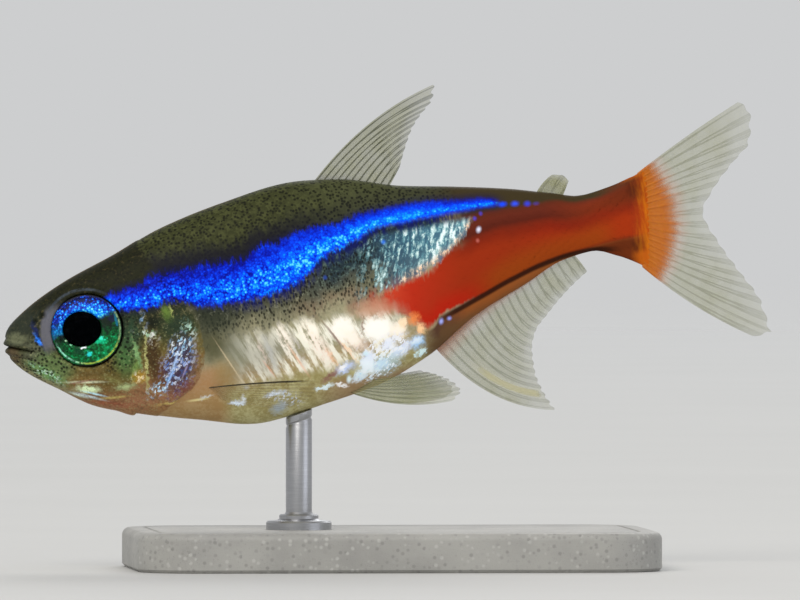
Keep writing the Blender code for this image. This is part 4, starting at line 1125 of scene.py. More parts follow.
@dataclass
class Skin:
    """The one skin over head, trunk, tail and gill covers."""

    form: FishForm
    material: Material
    columns: int = 208
    head_rows: int = 172
    head_end: float = 9.0
    row_spacing: float = 0.112
    coat_depth: float = 0.05
    mouth_front: float = -0.20
    mouth_corner: Place = (1.18, -0.66)
    lip_offset: float = 0.19
    lip_rise: float = 0.085
    cleft_depth: float = 0.30
    nostrils: tuple[tuple[float, float, float], ...] = ((1.45, 0.72, 0.10), (1.86, 0.93, 0.13))
    orbit_inner: float = 1.60
    orbit_outer: float = 1.67
    orbit_floor: float = 0.30
    orbit_rim: float = 0.05
    lip_width: float = 0.11
    lip_groove: Place = (0.42, 0.06)
    lip_fade: Place = (0.75, 1.45)
    cleft_width: float = 0.05
    nostril_depth: float = 0.17
    nostril_rim: float = 0.035
    cover_edge: float = 0.02
    cover_groove: float = 0.03
    plate_rise: float = 0.03
    fold_rise: float = 0.012
    flap_rise: float = 0.12

    def rows(self) -> ndarray:
        """Finds the distances from the snout of the grid's rows.

        Returns:
            The distances, from the snout to the end of the flesh.
        """
        head = np.linspace(0.07, math.sqrt(self.head_end), self.head_rows) ** 2
        count = math.ceil((FLESH_END - self.head_end) / self.row_spacing)
        return np.concatenate([head, np.linspace(self.head_end, FLESH_END, count + 1)[1:]])

    def lips(self, points: ndarray) -> ndarray:
        """Shapes the lips and the mouth's cleft between them.

        Args:
            points: Places on the skin as (s, y, h).

        Returns:
            The rise at each place, in millimetres.
        """
        run = (self.mouth_corner[1] - self.mouth_front) / self.mouth_corner[0]
        away = np.abs(points[..., 2] - (self.mouth_front + run * points[..., 0]))
        bead = bell(away, self.lip_offset, self.lip_width) - bell(away, *self.lip_groove) * 0.35
        fade = 1.0 - soft(points[..., 0], *self.lip_fade)
        return fade * (self.lip_rise * bead - self.cleft_depth * bell(away, 0.0, self.cleft_width))

    def nostril_pits(self, points: ndarray) -> ndarray:
        """Shapes the pits and the low rims of the nostrils.

        Args:
            points: Places on the skin as (s, y, h).

        Returns:
            The rise at each place, in millimetres.
        """
        depth = np.zeros(points.shape[:-1])
        for s, h, radius in self.nostrils:
            away = np.hypot(points[..., 0] - s, points[..., 2] - h)
            depth += self.nostril_rim * bell(away, 1.6 * radius, 0.6 * radius)
            depth -= self.nostril_depth * bell(away, 0.0, radius)
        return depth

    def cheek_relief(self, points: ndarray) -> ndarray:
        """Shapes the gill cover's free edge, the line before it and the plates of the cheek.

        Args:
            points: Places on the skin as (s, y, h).

        Returns:
            The rise at each place, in millimetres.
        """
        behind, s, level = self.form.gill_distance(points), points[..., 0], points[..., 2]
        crest = self.cover_edge * np.exp(np.minimum(behind, 0.0) / 0.7)
        trough = -self.cover_groove * np.exp(-np.maximum(behind, 0.0) / 0.3)
        blend = soft(behind, -0.05, 0.05)
        ledge = (crest * (1 - blend) + trough * blend) * soft(level, 1.1, 0.2) * soft(level, -5.0, -4.2)
        front = s - (6.2 - 0.14 * (level + 1.85))
        plate = self.plate_rise * (soft(front, -0.45, -0.02) - soft(front, 0.02, 0.1))
        plate *= soft(level, 0.2, -0.5) * soft(level, -4.0, -3.0)
        folds = self.fold_rise * np.sin((level + 0.5 * s) * 9.0) * soft(level, -3.1, -3.6)
        return ledge + plate + folds * soft(s, 2.0, 3.0) * soft(s, 7.5, 6.5)

    def throat_flap(self, points: ndarray) -> ndarray:
        """Returns the small free edge of the gill membrane under the throat."""
        s, belly = points[..., 0], self.form.section(points[..., 0])[1]
        return self.flap_rise * bell(points[..., 2], belly, 0.25) * soft(s, 4.3, 5.15) * soft(s, 5.3, 5.17)

    def seat_eyes(self, points: ndarray) -> ndarray:
        """Sinks the orbits under the eyes and rounds their rims.

        Args:
            points: Places on the skin as (s, y, h).

        Returns:
            The places, moved where an eye sits.
        """
        for side in Side:
            axis, offset = eye_axis(side), points - eye_centre(side)
            out = offset @ axis
            away = np.linalg.norm(offset - out[..., None] * axis, axis=-1)
            near = (points[..., 1] * side.value > 0) & (away < 2.6)
            sunk = 1.0 - soft(away, self.orbit_inner, self.orbit_outer)
            rim = self.orbit_rim * bell(away, 1.86, 0.12) - 0.04 * bell(away, 2.12, 0.14)
            shift = np.where(near, (out + rim) * (1.0 - sunk) - sunk * self.orbit_floor - out, 0.0)
            points = points + shift[..., None] * axis
        return points

    def build(self) -> Object:
        """Builds and dresses the skin.

        Returns:
            The piece, riding on the frame in place of the flesh nodes.
        """
        rows = self.rows()
        angles = np.linspace(0.0, math.tau, self.columns, endpoint=False)
        angles = np.where(angles > math.pi, angles - math.tau, angles)
        s, angle = np.meshgrid(rows, angles, indexing="ij")
        base = self.form.surface(s, angle)
        normal = self.form.outward(np.minimum(s, STANDARD_LENGTH), angle)
        coated = soft(self.form.gill_distance(base), -0.05, 0.3)
        depth = -self.coat_depth * coated * (1.0 - soft(s, 29.5, 30.2)) - 0.01
        depth = depth + self.lips(base) + self.nostril_pits(base) + self.cheek_relief(base) + self.throat_flap(base)
        depth = np.where(s > STANDARD_LENGTH, 0.0, depth)
        points = self.seat_eyes(base + depth[..., None] * normal)
        return self.assemble(rows, points, base)

    def assemble(self, rows: ndarray, points: ndarray, base: ndarray) -> Object:
        """Closes the grid at the snout and along the tail's end, and dresses it.

        Args:
            rows: The rows' distances from the snout.
            points: The grid's points.
            base: The same points before the relief, which the markings read.

        Returns:
            The dressed piece.
        """
        count, column = self.columns, np.arange(self.columns)
        snout = np.array([[0.0, 0.0, self.mouth_front]])
        merged = np.arange(1 + len(rows) * count)
        merged[-count:] = merged[-count] + np.minimum(column, (count - column) % count)
        used, order = np.unique(merged, return_inverse=True)
        faces = order[np.array(ring_faces(len(rows), count)[count:-count])].tolist()
        faces += [(0, 1 + (k + 1) % count, 1 + k) for k in range(count)]
        flat = np.concatenate([snout + (0.12, 0.0, 0.0), points.reshape(-1, 3)])[used]
        places = np.concatenate([snout, base.reshape(-1, 3)])[used]
        along = np.concatenate([[0.0], np.repeat(rows, count)])[used]
        around = np.concatenate([[0.5], np.tile(column / count, len(rows))])[used]
        piece = build_piece("body_skin", FishForm.world(flat), faces, self.material, {"fish_place": places})
        self.unwrap(piece.data, skin_unwrap(along, around))
        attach(piece, "root")
        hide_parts("head", "trunk", "tail", "gill_cover_left", "gill_cover_right")
        return piece

    @staticmethod
    def unwrap(mesh: Mesh, spots: ndarray) -> None:
        """Gives the skin its flat unwrap, cut along the back, from each point's spot.

        Args:
            mesh: The skin's mesh.
            spots: Each point's place on the unwrap.
        """
        corners = spots[read(mesh.loops, "vertex_index")]
        starts, totals = read(mesh.polygons, "loop_start"), read(mesh.polygons, "loop_total")
        highest = np.repeat(np.maximum.reduceat(corners[:, 1], starts), totals)
        corners[:, 1] += UNWRAP_TURN * ((highest > 0.75) & (corners[:, 1] < 0.25))
        write_uv(mesh, corners)


@dataclass
class ScaleCoat:
    """The scales of one flank, set out flat by Geometry Nodes and wrapped on the body."""

    form: FishForm
    side: Side
    material: Material
    pitch_front: float = 0.80
    pitch_rear: float = 0.56
    row_front: float = 0.72
    row_rear: float = 0.42
    length: float = 1.85
    width: float = 1.75
    thickness: float = 0.003
    tilt: float = 0.006
    depth: float = 0.045
    turn: float = 0.05
    unevenness: float = 0.05
    spokes: int = 12
    first: float = 6.2
    last: float = 29.6
    ridge_margin: float = 0.22
    apart: float = 10.0
    patch: float = 0.003

    def spacing(self, s: ndarray) -> tuple[ndarray, ndarray]:
        """Finds how far apart the scales' columns and rows are, which tapers along the body.

        Args:
            s: Distances from the snout.

        Returns:
            The columns' spacing and the rows' spacing.
        """
        share = soft(s, 12.0, 27.0)
        pitch = self.pitch_front + (self.pitch_rear - self.pitch_front) * share
        return pitch, self.row_front + (self.row_rear - self.row_front) * share

    def template(self) -> tuple[Object, ndarray]:
        """Makes one scale, one unit long and wide, its free end at +X.

        Returns:
            The hidden object and its points.
        """
        turns = np.linspace(0.0, math.tau, self.spokes, endpoint=False)
        rim = np.column_stack([0.5 * np.cos(turns), 0.5 * np.sin(turns) * (1.0 - 0.1 * np.cos(turns))])
        layers = [(x * size, y * size, z) for size, z in ((0.62, 0.92), (1.0, 0.45), (1.0, 0.0)) for x, y in rim]
        points = np.array([(0.0, 0.0, 1.0), *layers, (0.0, 0.0, 0.0)])
        faces = ring_faces(3, self.spokes)
        return build_piece(f"scale_template_{self.side.word}", points, faces, self.material), points

    def roots(self) -> ndarray:
        """Finds the scales' places on the flat sheet as (column's distance, row's level), staggered.

        Returns:
            The places, apart from those on the gill cover.
        """
        spots = []
        s, column = self.first, 0
        while s < self.last:
            pitch, height = self.spacing(np.array(s))
            above, below = self.form.arc_limits(np.array(s))
            offset = 0.5 * (column % 2)
            for row in range(math.ceil(above / height - offset), math.floor(below / height - offset) + 1):
                spots.append((s, (row + offset) * height))
            s += 0.5 * pitch
            column += 1
        spots = np.array(spots)
        place = self.form.surface(spots[:, 0], self.form.angle_at(spots[:, 0], spots[:, 1]))
        clear_of_gill = self.form.gill_distance(place) > 0.16
        return spots[clear_of_gill]

    @staticmethod
    def tree() -> GeometryNodeTree:
        """Builds the tree that sets one scale at each root.

        Returns:
            The node group, with the inputs that SCALE_INPUTS names.
        """
        tree = Tree(bpy.data.node_groups.new("scale rows", "GeometryNodeTree"))
        for name, kind in SCALE_INPUTS:
            tree.nodes.interface.new_socket(name=name, in_out="INPUT", socket_type=f"NodeSocket{kind}")
        tree.nodes.interface.new_socket(name="Scales", in_out="OUTPUT", socket_type="NodeSocketGeometry")
        given = tree.node("NodeGroupInput").outputs

        def spread(name: str, offset: int) -> Wire:
            """Draws a number between minus and plus an input, for each root.

            Args:
                name: The input.
                offset: What is added to the seed.

            Returns:
                The random number.
            """
            most = Wire(tree, given[name])
            sockets = {2: most * -1.0, 3: most, "Seed": Wire(tree, given["Seed"]) + offset}
            return tree.wire("FunctionNodeRandomValue", {}, sockets, 1)

        spin = tree.wire("ShaderNodeCombineXYZ", {}, {"Z": spread("Turn", 0)})
        sockets = {0: given["Size"], "Scale": spread("Unevenness", 1) + 1.0}
        size = tree.wire("ShaderNodeVectorMath", {"operation": "SCALE"}, sockets)
        scale = tree.wire("GeometryNodeObjectInfo", {}, {"Object": given["Scale"]}, "Geometry")
        rotation = tree.wire("FunctionNodeEulerToRotation", {}, {0: spin})
        sockets = {"Points": given["Roots"], "Instance": scale, "Rotation": rotation, "Scale": size}
        placed = tree.wire("GeometryNodeInstanceOnPoints", {}, sockets)
        real = tree.wire("GeometryNodeRealizeInstances", {}, {0: placed})
        dressed = tree.wire("GeometryNodeSetMaterial", {}, {0: real, "Material": given["Finish"]})
        tree.node("NodeGroupOutput", {}, {0: dressed})
        return tree.nodes

    def sheet(self, roots: ndarray, scale: Object) -> Mesh:
        """Lays every scale out flat, in units of one pitch and one row round its own root, and spends the template.

        Args:
            roots: The scales' roots.
            scale: The template.

        Returns:
            The realized mesh.
        """
        mesh = bpy.data.meshes.new("scale roots")
        mesh.from_pydata([(self.apart * k, 0.0, 0.0) for k in range(len(roots))], [], [])
        carrier = add_object("scale_roots", mesh)
        modifier = carrier.modifiers.new("scales", "NODES")
        modifier.node_group = self.tree()
        values = {
            "Scale": scale, "Size": (self.length, self.width, 1.0), "Turn": self.turn,
            "Unevenness": self.unevenness, "Seed": SCALE_SEEDS[self.side], "Finish": self.material,
        }
        for item in modifier.node_group.interface.items_tree:
            if item.in_out == "INPUT" and item.name in values:
                modifier[item.identifier] = values[item.name]
        bpy.context.view_layer.update()
        graph = bpy.context.evaluated_depsgraph_get()
        made = bpy.data.meshes.new_from_object(carrier.evaluated_get(graph))
        carrier.modifiers.remove(modifier)
        for spent in (carrier, scale):
            bpy.data.objects.remove(spent, do_unlink=True)
        return made

    def build(self) -> Object:
        """Builds and dresses one flank's scales.

        Returns:
            The piece, riding on the frame.
        """
        roots = self.roots()
        scale, template = self.template()
        mesh = self.sheet(roots, scale)
        local = read(mesh.vertices, "co", 3).reshape(len(roots), -1, 3).astype(float)
        local[..., 0] -= self.apart * np.arange(len(roots))[:, None]
        points, places, outward = self.wrap(roots, local)
        mesh.vertices.foreach_set("co", FishForm.world(points).astype(np.float32).ravel())
        own = np.tile(template, (len(roots), 1))
        write_attributes(mesh, {"fish_place": places, "scale_place": own})
        angle = self.form.angle_at(roots[:, 0], roots[:, 1]) / math.tau
        centre = skin_unwrap(roots[:, 0], angle if self.side is Side.RIGHT else 1.0 - angle)
        spots = np.repeat(centre, len(template), axis=0) + own[:, :2] * self.patch
        write_uv(mesh, spots[read(mesh.loops, "vertex_index")])
        mesh.update()
        mesh.shade_smooth()
        piece = add_object(f"scales_{self.side.word}", mesh)
        if mesh.polygons[0].normal @ Vector(outward[0, 0]) < 0:
            mesh.flip_normals()
        self.smooth(mesh, outward.reshape(-1, 3))
        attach(piece, "root")
        return piece

    @staticmethod
    def smooth(mesh: Mesh, outward: ndarray) -> None:
        """Shades each face of the scales as the body's own surface, from the side it faces.

        Args:
            mesh: The scales' mesh.
            outward: The body's outward direction at each point.
        """
        way = outward[read(mesh.loops, "vertex_index")]
        faces = np.repeat(read(mesh.polygons, "normal", 3), read(mesh.polygons, "loop_total"), axis=0)
        inward = (faces * way).sum(axis=1, keepdims=True) < 0
        mesh.normals_split_custom_set(np.where(inward, -way, way).tolist())

    def wrap(self, roots: ndarray, local: ndarray) -> tuple[ndarray, ndarray, ndarray]:
        """Bends the flat scales round the body.

        Args:
            roots: The scales' roots.
            local: Each scale's points round its root.

        Returns:
            The scales' points, the skin's points under them, which the markings read, and the way out of the body.
        """
        pitch, height = self.spacing(roots[:, :1])
        s = np.clip(roots[:, :1] + local[..., 0] * pitch, 1.0, STANDARD_LENGTH + 0.3)
        arc, margin = roots[:, 1:] + local[..., 1] * height, self.ridge_margin
        above, below = self.form.arc_limits(s)
        arc = np.where(arc < above + margin, above + margin * np.exp((arc - above - margin) / margin), arc)
        arc = np.where(arc > below - margin, below - margin * np.exp((below - margin - arc) / margin), arc)
        angle = self.form.angle_at(s, arc) * self.side.value
        lift = local[..., 2] * self.thickness + local[..., 0] * pitch * self.tilt - self.depth
        base = self.form.surface(s, angle)
        outward = self.form.outward(np.minimum(s, STANDARD_LENGTH), angle)
        way = FishForm.world(base + outward * 0.1) - FishForm.world(base)
        return base + lift[..., None] * outward, base, way / np.linalg.norm(way, axis=-1, keepdims=True)


def eye_axis(side: Side) -> ndarray:
    """Returns the direction that an eye looks in."""
    raw = np.array([-math.sin(EYE_FORWARD), side.value * math.cos(EYE_FORWARD), math.sin(EYE_UPWARD)])
    return raw / np.linalg.norm(raw)


def eye_centre(side: Side) -> ndarray:
    """Returns the middle of an eye's plane."""
    return np.array([EYE_CENTRE[0], side.value * EYE_SIDE, EYE_CENTRE[1]])


@dataclass
class Eye:
    """One eye: a ball with its iris, the black lens that stands through the pupil, and a clear cornea."""

    side: Side
    spokes: int = 72
    pupil_radius: float = 0.86
    pupil_offset: Place = (0.21, 0.105)

    def lathe(self, name: str, profile: Sequence[Place], material: Material, pupil: bool) -> Object:
        """Turns a profile round the eye's axis.

        Args:
            name: The piece's name, before its side.
            profile: (radius, height) pairs from the back to the front, both ends on the axis.
            material: Its finish.
            pupil: Whether the whole profile follows the pupil's outline.

        Returns:
            The piece.
        """
        axis = eye_axis(self.side)
        forward = np.array([-1.0, 0.0, 0.0])
        forward -= axis * (forward @ axis)
        forward /= np.linalg.norm(forward)
        upward = np.cross(axis, forward) * self.side.value
        rings = np.array(profile[1:-1])
        turns = np.linspace(0.0, math.tau, self.spokes, endpoint=False)
        near = 1.0 if pupil else soft(rings[:, :1], 1.35, 0.95)
        outline = 0.05 * np.cos(2 * turns - 0.5) + 0.05 * bell(turns, 5.6, 0.25)
        radius = rings[:, :1] * (1.0 + outline * near)
        ahead = radius * np.cos(turns) + self.pupil_offset[0] * near
        up = radius * np.sin(turns) + self.pupil_offset[1] * near
        middle = np.array(self.pupil_offset if pupil else (0.0, 0.0))
        back, tip = ([[*middle, profile[end][1]]] for end in (0, -1))
        around = np.stack([ahead, up, np.broadcast_to(rings[:, 1:], ahead.shape)], -1).reshape(-1, 3)
        local = np.concatenate([back, around, tip])
        points = eye_centre(self.side) + local @ np.array([forward, upward, axis])
        faces = ring_faces(len(rings), self.spokes)
        name = f"{name}_{self.side.word}"
        piece = build_piece(name, FishForm.world(points), faces, material, {"eye_place": local})
        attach(piece, "root")
        return piece

    def build(self, iris: Material, lens: Material, cornea: Material) -> list[Object]:
        """Builds the eye's three pieces.

        Args:
            iris: The finish of the ball and the iris.
            lens: The finish of the lens.
            cornea: The finish of the cornea.

        Returns:
            The three pieces.
        """
        r = self.pupil_radius
        ball = [(0.0, -0.70), (0.8, -0.64), (1.3, -0.42), (1.55, -0.1), (1.625, 0.04), (1.64, 0.12), (1.62, 0.18)]
        ball += [(1.58, 0.205), (1.53, 0.20), (1.48, 0.185), (1.40, 0.20), (1.30, 0.225), (1.20, 0.25), (1.10, 0.275)]
        ball += [(1.0, 0.295), (r + 0.09, 0.31), (r + 0.03, 0.30), (r, 0.26), (r - 0.02, 0.12), (0.0, 0.1)]
        piece = self.lathe("eyeball", ball, iris, pupil=False)
        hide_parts(f"eye_{self.side.word}")
        dome = [(0.0, 0.08), (r - 0.04, 0.08)]
        dome += [((r - 0.03) * math.cos(t), 0.24 + 0.22 * math.sin(t)) for t in np.linspace(0.0, 1.35, 9)]
        middle = self.lathe("lens", [*dome, (0.0, 0.46)], lens, pupil=True)
        cap = [(1.585 * math.cos(t), 0.17 + 0.39 * math.sin(t)) for t in np.linspace(0.0, 1.5, 18)]
        inner = [(1.56 * math.cos(t), 0.165 + 0.36 * math.sin(t)) for t in np.linspace(1.5, 0.0, 18)]
        film = self.lathe("cornea", [(0.0, 0.525), *inner, *cap, (0.0, 0.56)], cornea, pupil=False)
        return [piece, middle, film]


# Runs of colour in the iris, and its blots as (ahead, up), (half length, half height), colour; the near-white blot
# under the pupil is a painted highlight
EMERALD = ((0.12, (2, 18, 12)), (0.36, (2, 50, 26)), (0.6, (2, 98, 44)), (0.8, (0, 156, 90)), (0.98, (50, 220, 160)))
BLUES = ((0.0, (0, 14, 80)), (0.2, (0, 36, 176)), (0.42, (0, 96, 234)), (0.64, (8, 174, 246)), (0.9, (120, 236, 250)))
IRIS_BLOTS = (
    ((1.2, 0.1), (0.18, 0.36), (6, 26, 26)), ((-1.0, 0.16), (0.36, 0.42), (14, 30, 20)),
    ((-1.4, 0.2), (0.07, 0.4), (14, 110, 140)), ((-1.2, 0.35), (0.16, 0.2), (16, 24, 60)),
    ((0.55, -0.85), (0.3, 0.16), (4, 70, 40)), ((-0.5, -0.6), (0.3, 0.15), (0, 200, 140)),
    ((-0.6, -0.5), (0.13, 0.1), (60, 234, 200)), ((0.11, -1.1), (0.14, 0.13), (40, 220, 214)),
    ((0.31, -0.76), (0.16, 0.05), (240, 248, 255)), ((0.83, -0.5), (0.1, 0.05), (150, 240, 190)),
    ((1.04, -0.28), (0.08, 0.06), (196, 244, 200)),
)


class EyeFinish:
    """The finishes of the eye's pieces."""

    @staticmethod
    def iris() -> Material:
        """Paints the iris: blue above with its bright granules as painted glints, emerald below, a pale gold rim and a
        painted highlight under the pupil.

        Returns:
            The material.
        """
        paint = Paint("tetra iris")
        place = paint.attribute("eye_place")
        ahead, up, _out = paint.parts(place)
        radius = paint.length(ahead, up)
        fine = paint.noise(place, 6.0, 3.0, 0.65)
        drift = paint.noise(place, 2.0, 2.0) - 0.5
        distance, own = paint.cells(place, 9.5)
        granules = (1.15 - distance * 1.3) * (own * 0.8 + 0.4)
        level = fine * 1.1 + granules * 0.25 + up.step(0.3, -1.2) * 0.3 - 0.38 + ahead.step(0.6, -0.9) * 0.12
        colour = paint.ramp(level, EMERALD)
        level = granules * 0.8 + fine * 0.6 + up.step(1.5, 0.9) * 0.3 + radius.step(1.5, 0.85) * 0.3 - 0.64
        teal = up.step(0.7, 0.0) * ahead.step(0.4, 1.0) * 0.6
        blue = paint.mix(teal, paint.ramp(level, BLUES), (0, 126, 150))
        for (a, b), (wide, high), tone in IRIS_BLOTS:
            away = paint.length((ahead - a) / wide, (up - b) / high) + (fine - granules) * 0.9
            colour = paint.mix(away.step(1.35, 0.55) * 0.95, colour, tone)
        rim = radius.window((1.46, 1.51), (1.58, 1.54)) * (up + ahead * 0.4 + drift * 0.3).step(0.45, -0.05)
        gold = paint.mix(up.step(-1.1, -0.4), (170, 190, 60), (140, 172, 128))
        gold = paint.mix(ahead.step(0.2, 1.0), gold, (140, 220, 190))
        colour = paint.mix(rim * (fine + 0.25).step(0.55, 0.85), colour, gold)
        colour = paint.mix((up + ahead * 0.2 + drift * 0.45).step(0.2, 0.44), colour, blue)
        colour = paint.mix(radius.step(1.56, 1.6) * ahead.step(1.1, 0.4), colour, (12, 12, 10))
        # Painted glow: the iris's brightest colours also give off light as emission.
        return paint.finish({
            "Base Color": colour, "Roughness": 0.5, "Specular IOR Level": 0.2,
            "Emission Color": paint.mix(paint.glow(colour, 0.25), (0, 0, 0), colour), "Emission Strength": 0.22,
            "Normal": paint.bump(granules + fine, 0.3),
        })

    @staticmethod
    def lens() -> Material:
        """Paints the lens: deep black with the faintest bloom.

        Returns:
            The material.
        """
        paint = Paint("tetra lens")
        bloom = paint.noise(paint.attribute("eye_place"), 2.5)
        colour = paint.mix(bloom.step(0.4, 0.8), (2, 3, 4), (6, 7, 9))
        return paint.finish({"Base Color": colour, "Roughness": 0.7 + bloom * 0.2, "Specular IOR Level": 0.0})

    @staticmethod
    def cornea() -> Material:
        """Makes the cornea: a clear film that only its gloss shows.

        Returns:
            The material.
        """
        paint = Paint("tetra cornea")
        facing = paint.wire("ShaderNodeLayerWeight", {}, {"Blend": 0.15}, "Fresnel")
        place = paint.attribute("eye_place")
        ahead, up, _out = paint.parts(place)
        return paint.finish({
            "Base Color": (0.92, 0.96, 1.0, 1.0), "Metallic": 1.0, "Roughness": 0.55 + paint.noise(place, 3.0) * 0.1,
            "Alpha": (facing * 0.12 - 0.01).most(0.0).least(0.1) * paint.length(ahead, up).step(0.4, 1.0),
        })


@dataclass(frozen=True)
class FinFinish:
    """A fin's look: its membrane, its rays, what tints its root and any orange, milky stripe or dark edge."""

    name: str
    membrane: Colour = (146, 148, 104)
    ray: Colour = (134, 136, 94)
    clearness: float = 0.3
    ray_cover: float = 0.44
    root: Colour = (126, 108, 70)
    root_reach: float = 0.1
    orange: bool = False
    milky: bool = False
    dark_edge: bool = False

    def build(self) -> Material:
        """Paints the membrane, its rays and whatever else tints this fin.

        Returns:
            The material.
        """
        paint = Paint(self.name)
        ray_number, reach, ridge = paint.parts(paint.attribute("fin_place"))
        place = paint.attribute("fish_place")
        s, _y, h = paint.parts(place)
        cloud = paint.noise(place, 1.1, 3.0)
        fine = paint.noise(paint.vector(ray_number * 3.0, reach * 12.0), 1.0, 3.0)
        crest = ridge.step(0.2, 0.8)
        colour = paint.mix(crest, paint.mix(cloud, self.membrane, (164, 164, 120)), self.ray)
        cover = self.clearness * (0.5 + cloud) + crest * (self.ray_cover - self.clearness) * (0.5 + fine)
        cover = cover * (1.0 - reach.step(0.6, 1.04) * 0.5)
        base = reach.step(self.root_reach, 0.0)
        layers: list[tuple[Value, object, Value]] = [(base * 0.8, self.root, base * 0.7)]
        if self.orange:
            ragged = (paint.noise(paint.vector(ray_number * 2.2, reach), 1.0) - 0.5) * 0.8
            edge = s + (h - 0.1) * (h - 0.1) * 0.13 + ragged
            tone = paint.mix(fine, (184, 88, 8), (208, 124, 22))
            layers.append((edge.step(32.3, 31.0), tone, edge.step(32.2, 30.8) * 0.9))
        if self.milky:
            stripe = abs(ray_number - 1.5 - reach * 0.5).step(0.8, 0.2) * reach.window((0.2, 0.45), (1.0, 0.9))
            layers.append((stripe, (196, 192, 156), stripe * (0.5 + fine * 0.5)))
        if self.dark_edge:
            edge = (ray_number + fine * 0.3).step(0.7, 0.2) * reach.step(1.0, 0.75)
            layers.append((edge * 0.9, (42, 36, 28), edge * 0.85))
        for mask, tone, opaque in layers:
            colour, cover = paint.mix(mask, colour, tone), cover.most(opaque)
        return paint.finish({
            "Base Color": colour, "Roughness": 0.5, "Specular IOR Level": 0.3, "Alpha": cover.least(1.0),
            "Normal": paint.bump(crest + fine * 0.3, 0.3),
        })


@dataclass(frozen=True)
class FinPlan:
    """One fin: its rays, its root, its tips as (s, y, h) and how its first and last rays bow."""

    name: str
    nodes: tuple[str, ...]
    seat: Seat
    rays: int
    root: tuple
    tips: tuple[tuple[float, float, float], ...]
    front_bow: tuple[float, float, float]
    rear_bow: tuple[float, float, float]
    finish: FinFinish
    sides: tuple[Side, ...] = (Side.RIGHT,)


def upright(points: Sequence[Place]) -> tuple[tuple[float, float, float], ...]:
    """Sets places in side view on the body's middle plane."""
    return tuple((s, 0.0, h) for s, h in points)


@dataclass
class Fin:
    """A thin membrane with branched rays raised from both its faces."""

    form: FishForm
    plan: FinPlan
    side: Side
    material: Material
    columns_per_ray: int = 14
    rows: int = 56
    edge_margin: float = 0.3
    membrane: float = 0.016
    ray_height: float = 0.02
    sink: float = 0.22
    ripple: float = 0.035

    def mirrored(self, point: Sequence[float]) -> ndarray:
        """Puts a right-hand place on this fin's side."""
        return np.array([point[0], point[1] * self.side.value, point[2]], float)

    def root(self, share: ndarray) -> ndarray:
        """Finds the fin's root, sunk a little into what it grows from.

        Args:
            share: Places across the fin, from 0 to 1.

        Returns:
            Points as (s, y, h).
        """
        start, end = self.plan.root
        if self.plan.seat is Seat.FLANK:
            start, end = (self.form.flank(*place, self.side, -self.sink) for place in (start, end))
            return start + share[:, None] * (end - start)
        value = start + share * (end - start)
        if self.plan.seat is Seat.TAIL_END:
            return np.stack([STANDARD_LENGTH + CAUDAL_LEAN * value - self.sink, 0 * value, value], axis=-1)
        back, belly, _half = self.form.section(value)
        height = back - self.sink if self.plan.seat is Seat.BACK else belly + self.sink
        return np.stack([value, 0 * value, height], axis=-1)

    @staticmethod
    def ray_profile(across: ndarray, reach: ndarray) -> ndarray:
        """Returns how near each point is to a ray's crest, with the rays branching twice.

        Args:
            across: Places across the fin in rays.
            reach: Places along the rays, from 0 at the root.

        Returns:
            1 on a crest and 0 between rays.
        """
        number = np.round(across)
        first = 0.14 * soft(reach, 0.38, 0.62) * (number >= 1)
        second = 0.065 * soft(reach, 0.66, 0.86) * (number >= 1)
        width = 0.15 - 0.085 * soft(reach, 0.3, 0.75)
        crests = [first + second, first - second, -first + second, -first - second]
        return np.max([bell(across - number, crest, width) for crest in crests], axis=0)

    def build(self) -> Object:
        """Builds and dresses the fin.

        Returns:
            The piece, riding on the frame in place of its node.
        """
        plan = self.plan
        suffix = f"_{self.side.word}" if len(plan.sides) > 1 else ""
        share = np.linspace(0.0, 1.0, (plan.rays - 1) * self.columns_per_ray + 9)
        across = share * (plan.rays - 1 + 2 * self.edge_margin) - self.edge_margin
        tips = path_through([self.mirrored(tip) for tip in plan.tips])(share)
        start = self.root(share)
        front, rear = self.mirrored(plan.front_bow), self.mirrored(plan.rear_bow)
        middle = (start + tips) / 2 + front + share[:, None] * (rear - front)
        notch = 0.5 - 0.5 * np.cos(math.tau * across)
        reach = np.linspace(0.0, 1.0, self.rows + 1)[None, :] * (1.0 - 0.022 * notch[:, None])
        t = reach[..., None]
        sheet = (1 - t) ** 2 * start[:, None] + 2 * t * (1 - t) * middle[:, None] + t * t * tips[:, None]
        normal = np.cross(np.gradient(sheet, axis=1), np.gradient(sheet, axis=0))
        normal /= np.maximum(np.linalg.norm(normal, axis=-1, keepdims=True), 1e-9)
        columns = across[:, None] + 0 * reach
        ridge = self.ray_profile(columns, reach)
        wave = self.ripple * np.sin(across * 1.7)[:, None] * soft(reach, 0.2, 1.0)
        half = self.membrane * (1.0 - 0.5 * reach) + self.ray_height * ridge * (1.0 - 0.75 * reach)
        layers = np.stack([sheet + normal * (wave + way * half)[..., None] for way in (-1, 1)]).reshape(-1, 3)
        fin_place = np.tile(np.stack([columns, reach, ridge], -1).reshape(-1, 3), (2, 1))
        attributes = {"fin_place": fin_place, "fish_place": layers}
        faces = self.faces(len(share), self.rows + 1)
        piece = build_piece(plan.name + suffix, FishForm.world(layers), faces, self.material, attributes)
        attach(piece, "root")
        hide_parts(*[node + suffix for node in plan.nodes])
        return piece

    @staticmethod
    def faces(count: int, rows: int) -> list[tuple[int, ...]]:
        """Lists the faces of two grids joined along their edges.

        Args:
            count: Points across the fin.
            rows: Points along it.

        Returns:
            The faces, front, back and edge.
        """
        grid = np.arange(count * rows).reshape(count, rows)
        layer = grid.size
        corners = [part.ravel() for part in (grid[:-1, :-1], grid[:-1, 1:], grid[1:, 1:], grid[1:, :-1])]
        front = np.stack(corners, axis=-1)
        edge = [*grid[:, 0], *grid[-1, 1:], *grid[-2::-1, -1], *grid[0, -2:0:-1]]
        rim = [(a, b, layer + b, layer + a) for a, b in zip(edge, edge[1:] + edge[:1])]
        return [*front.tolist(), *(layer + front[:, [0, 3, 2, 1]]).tolist(), *rim]


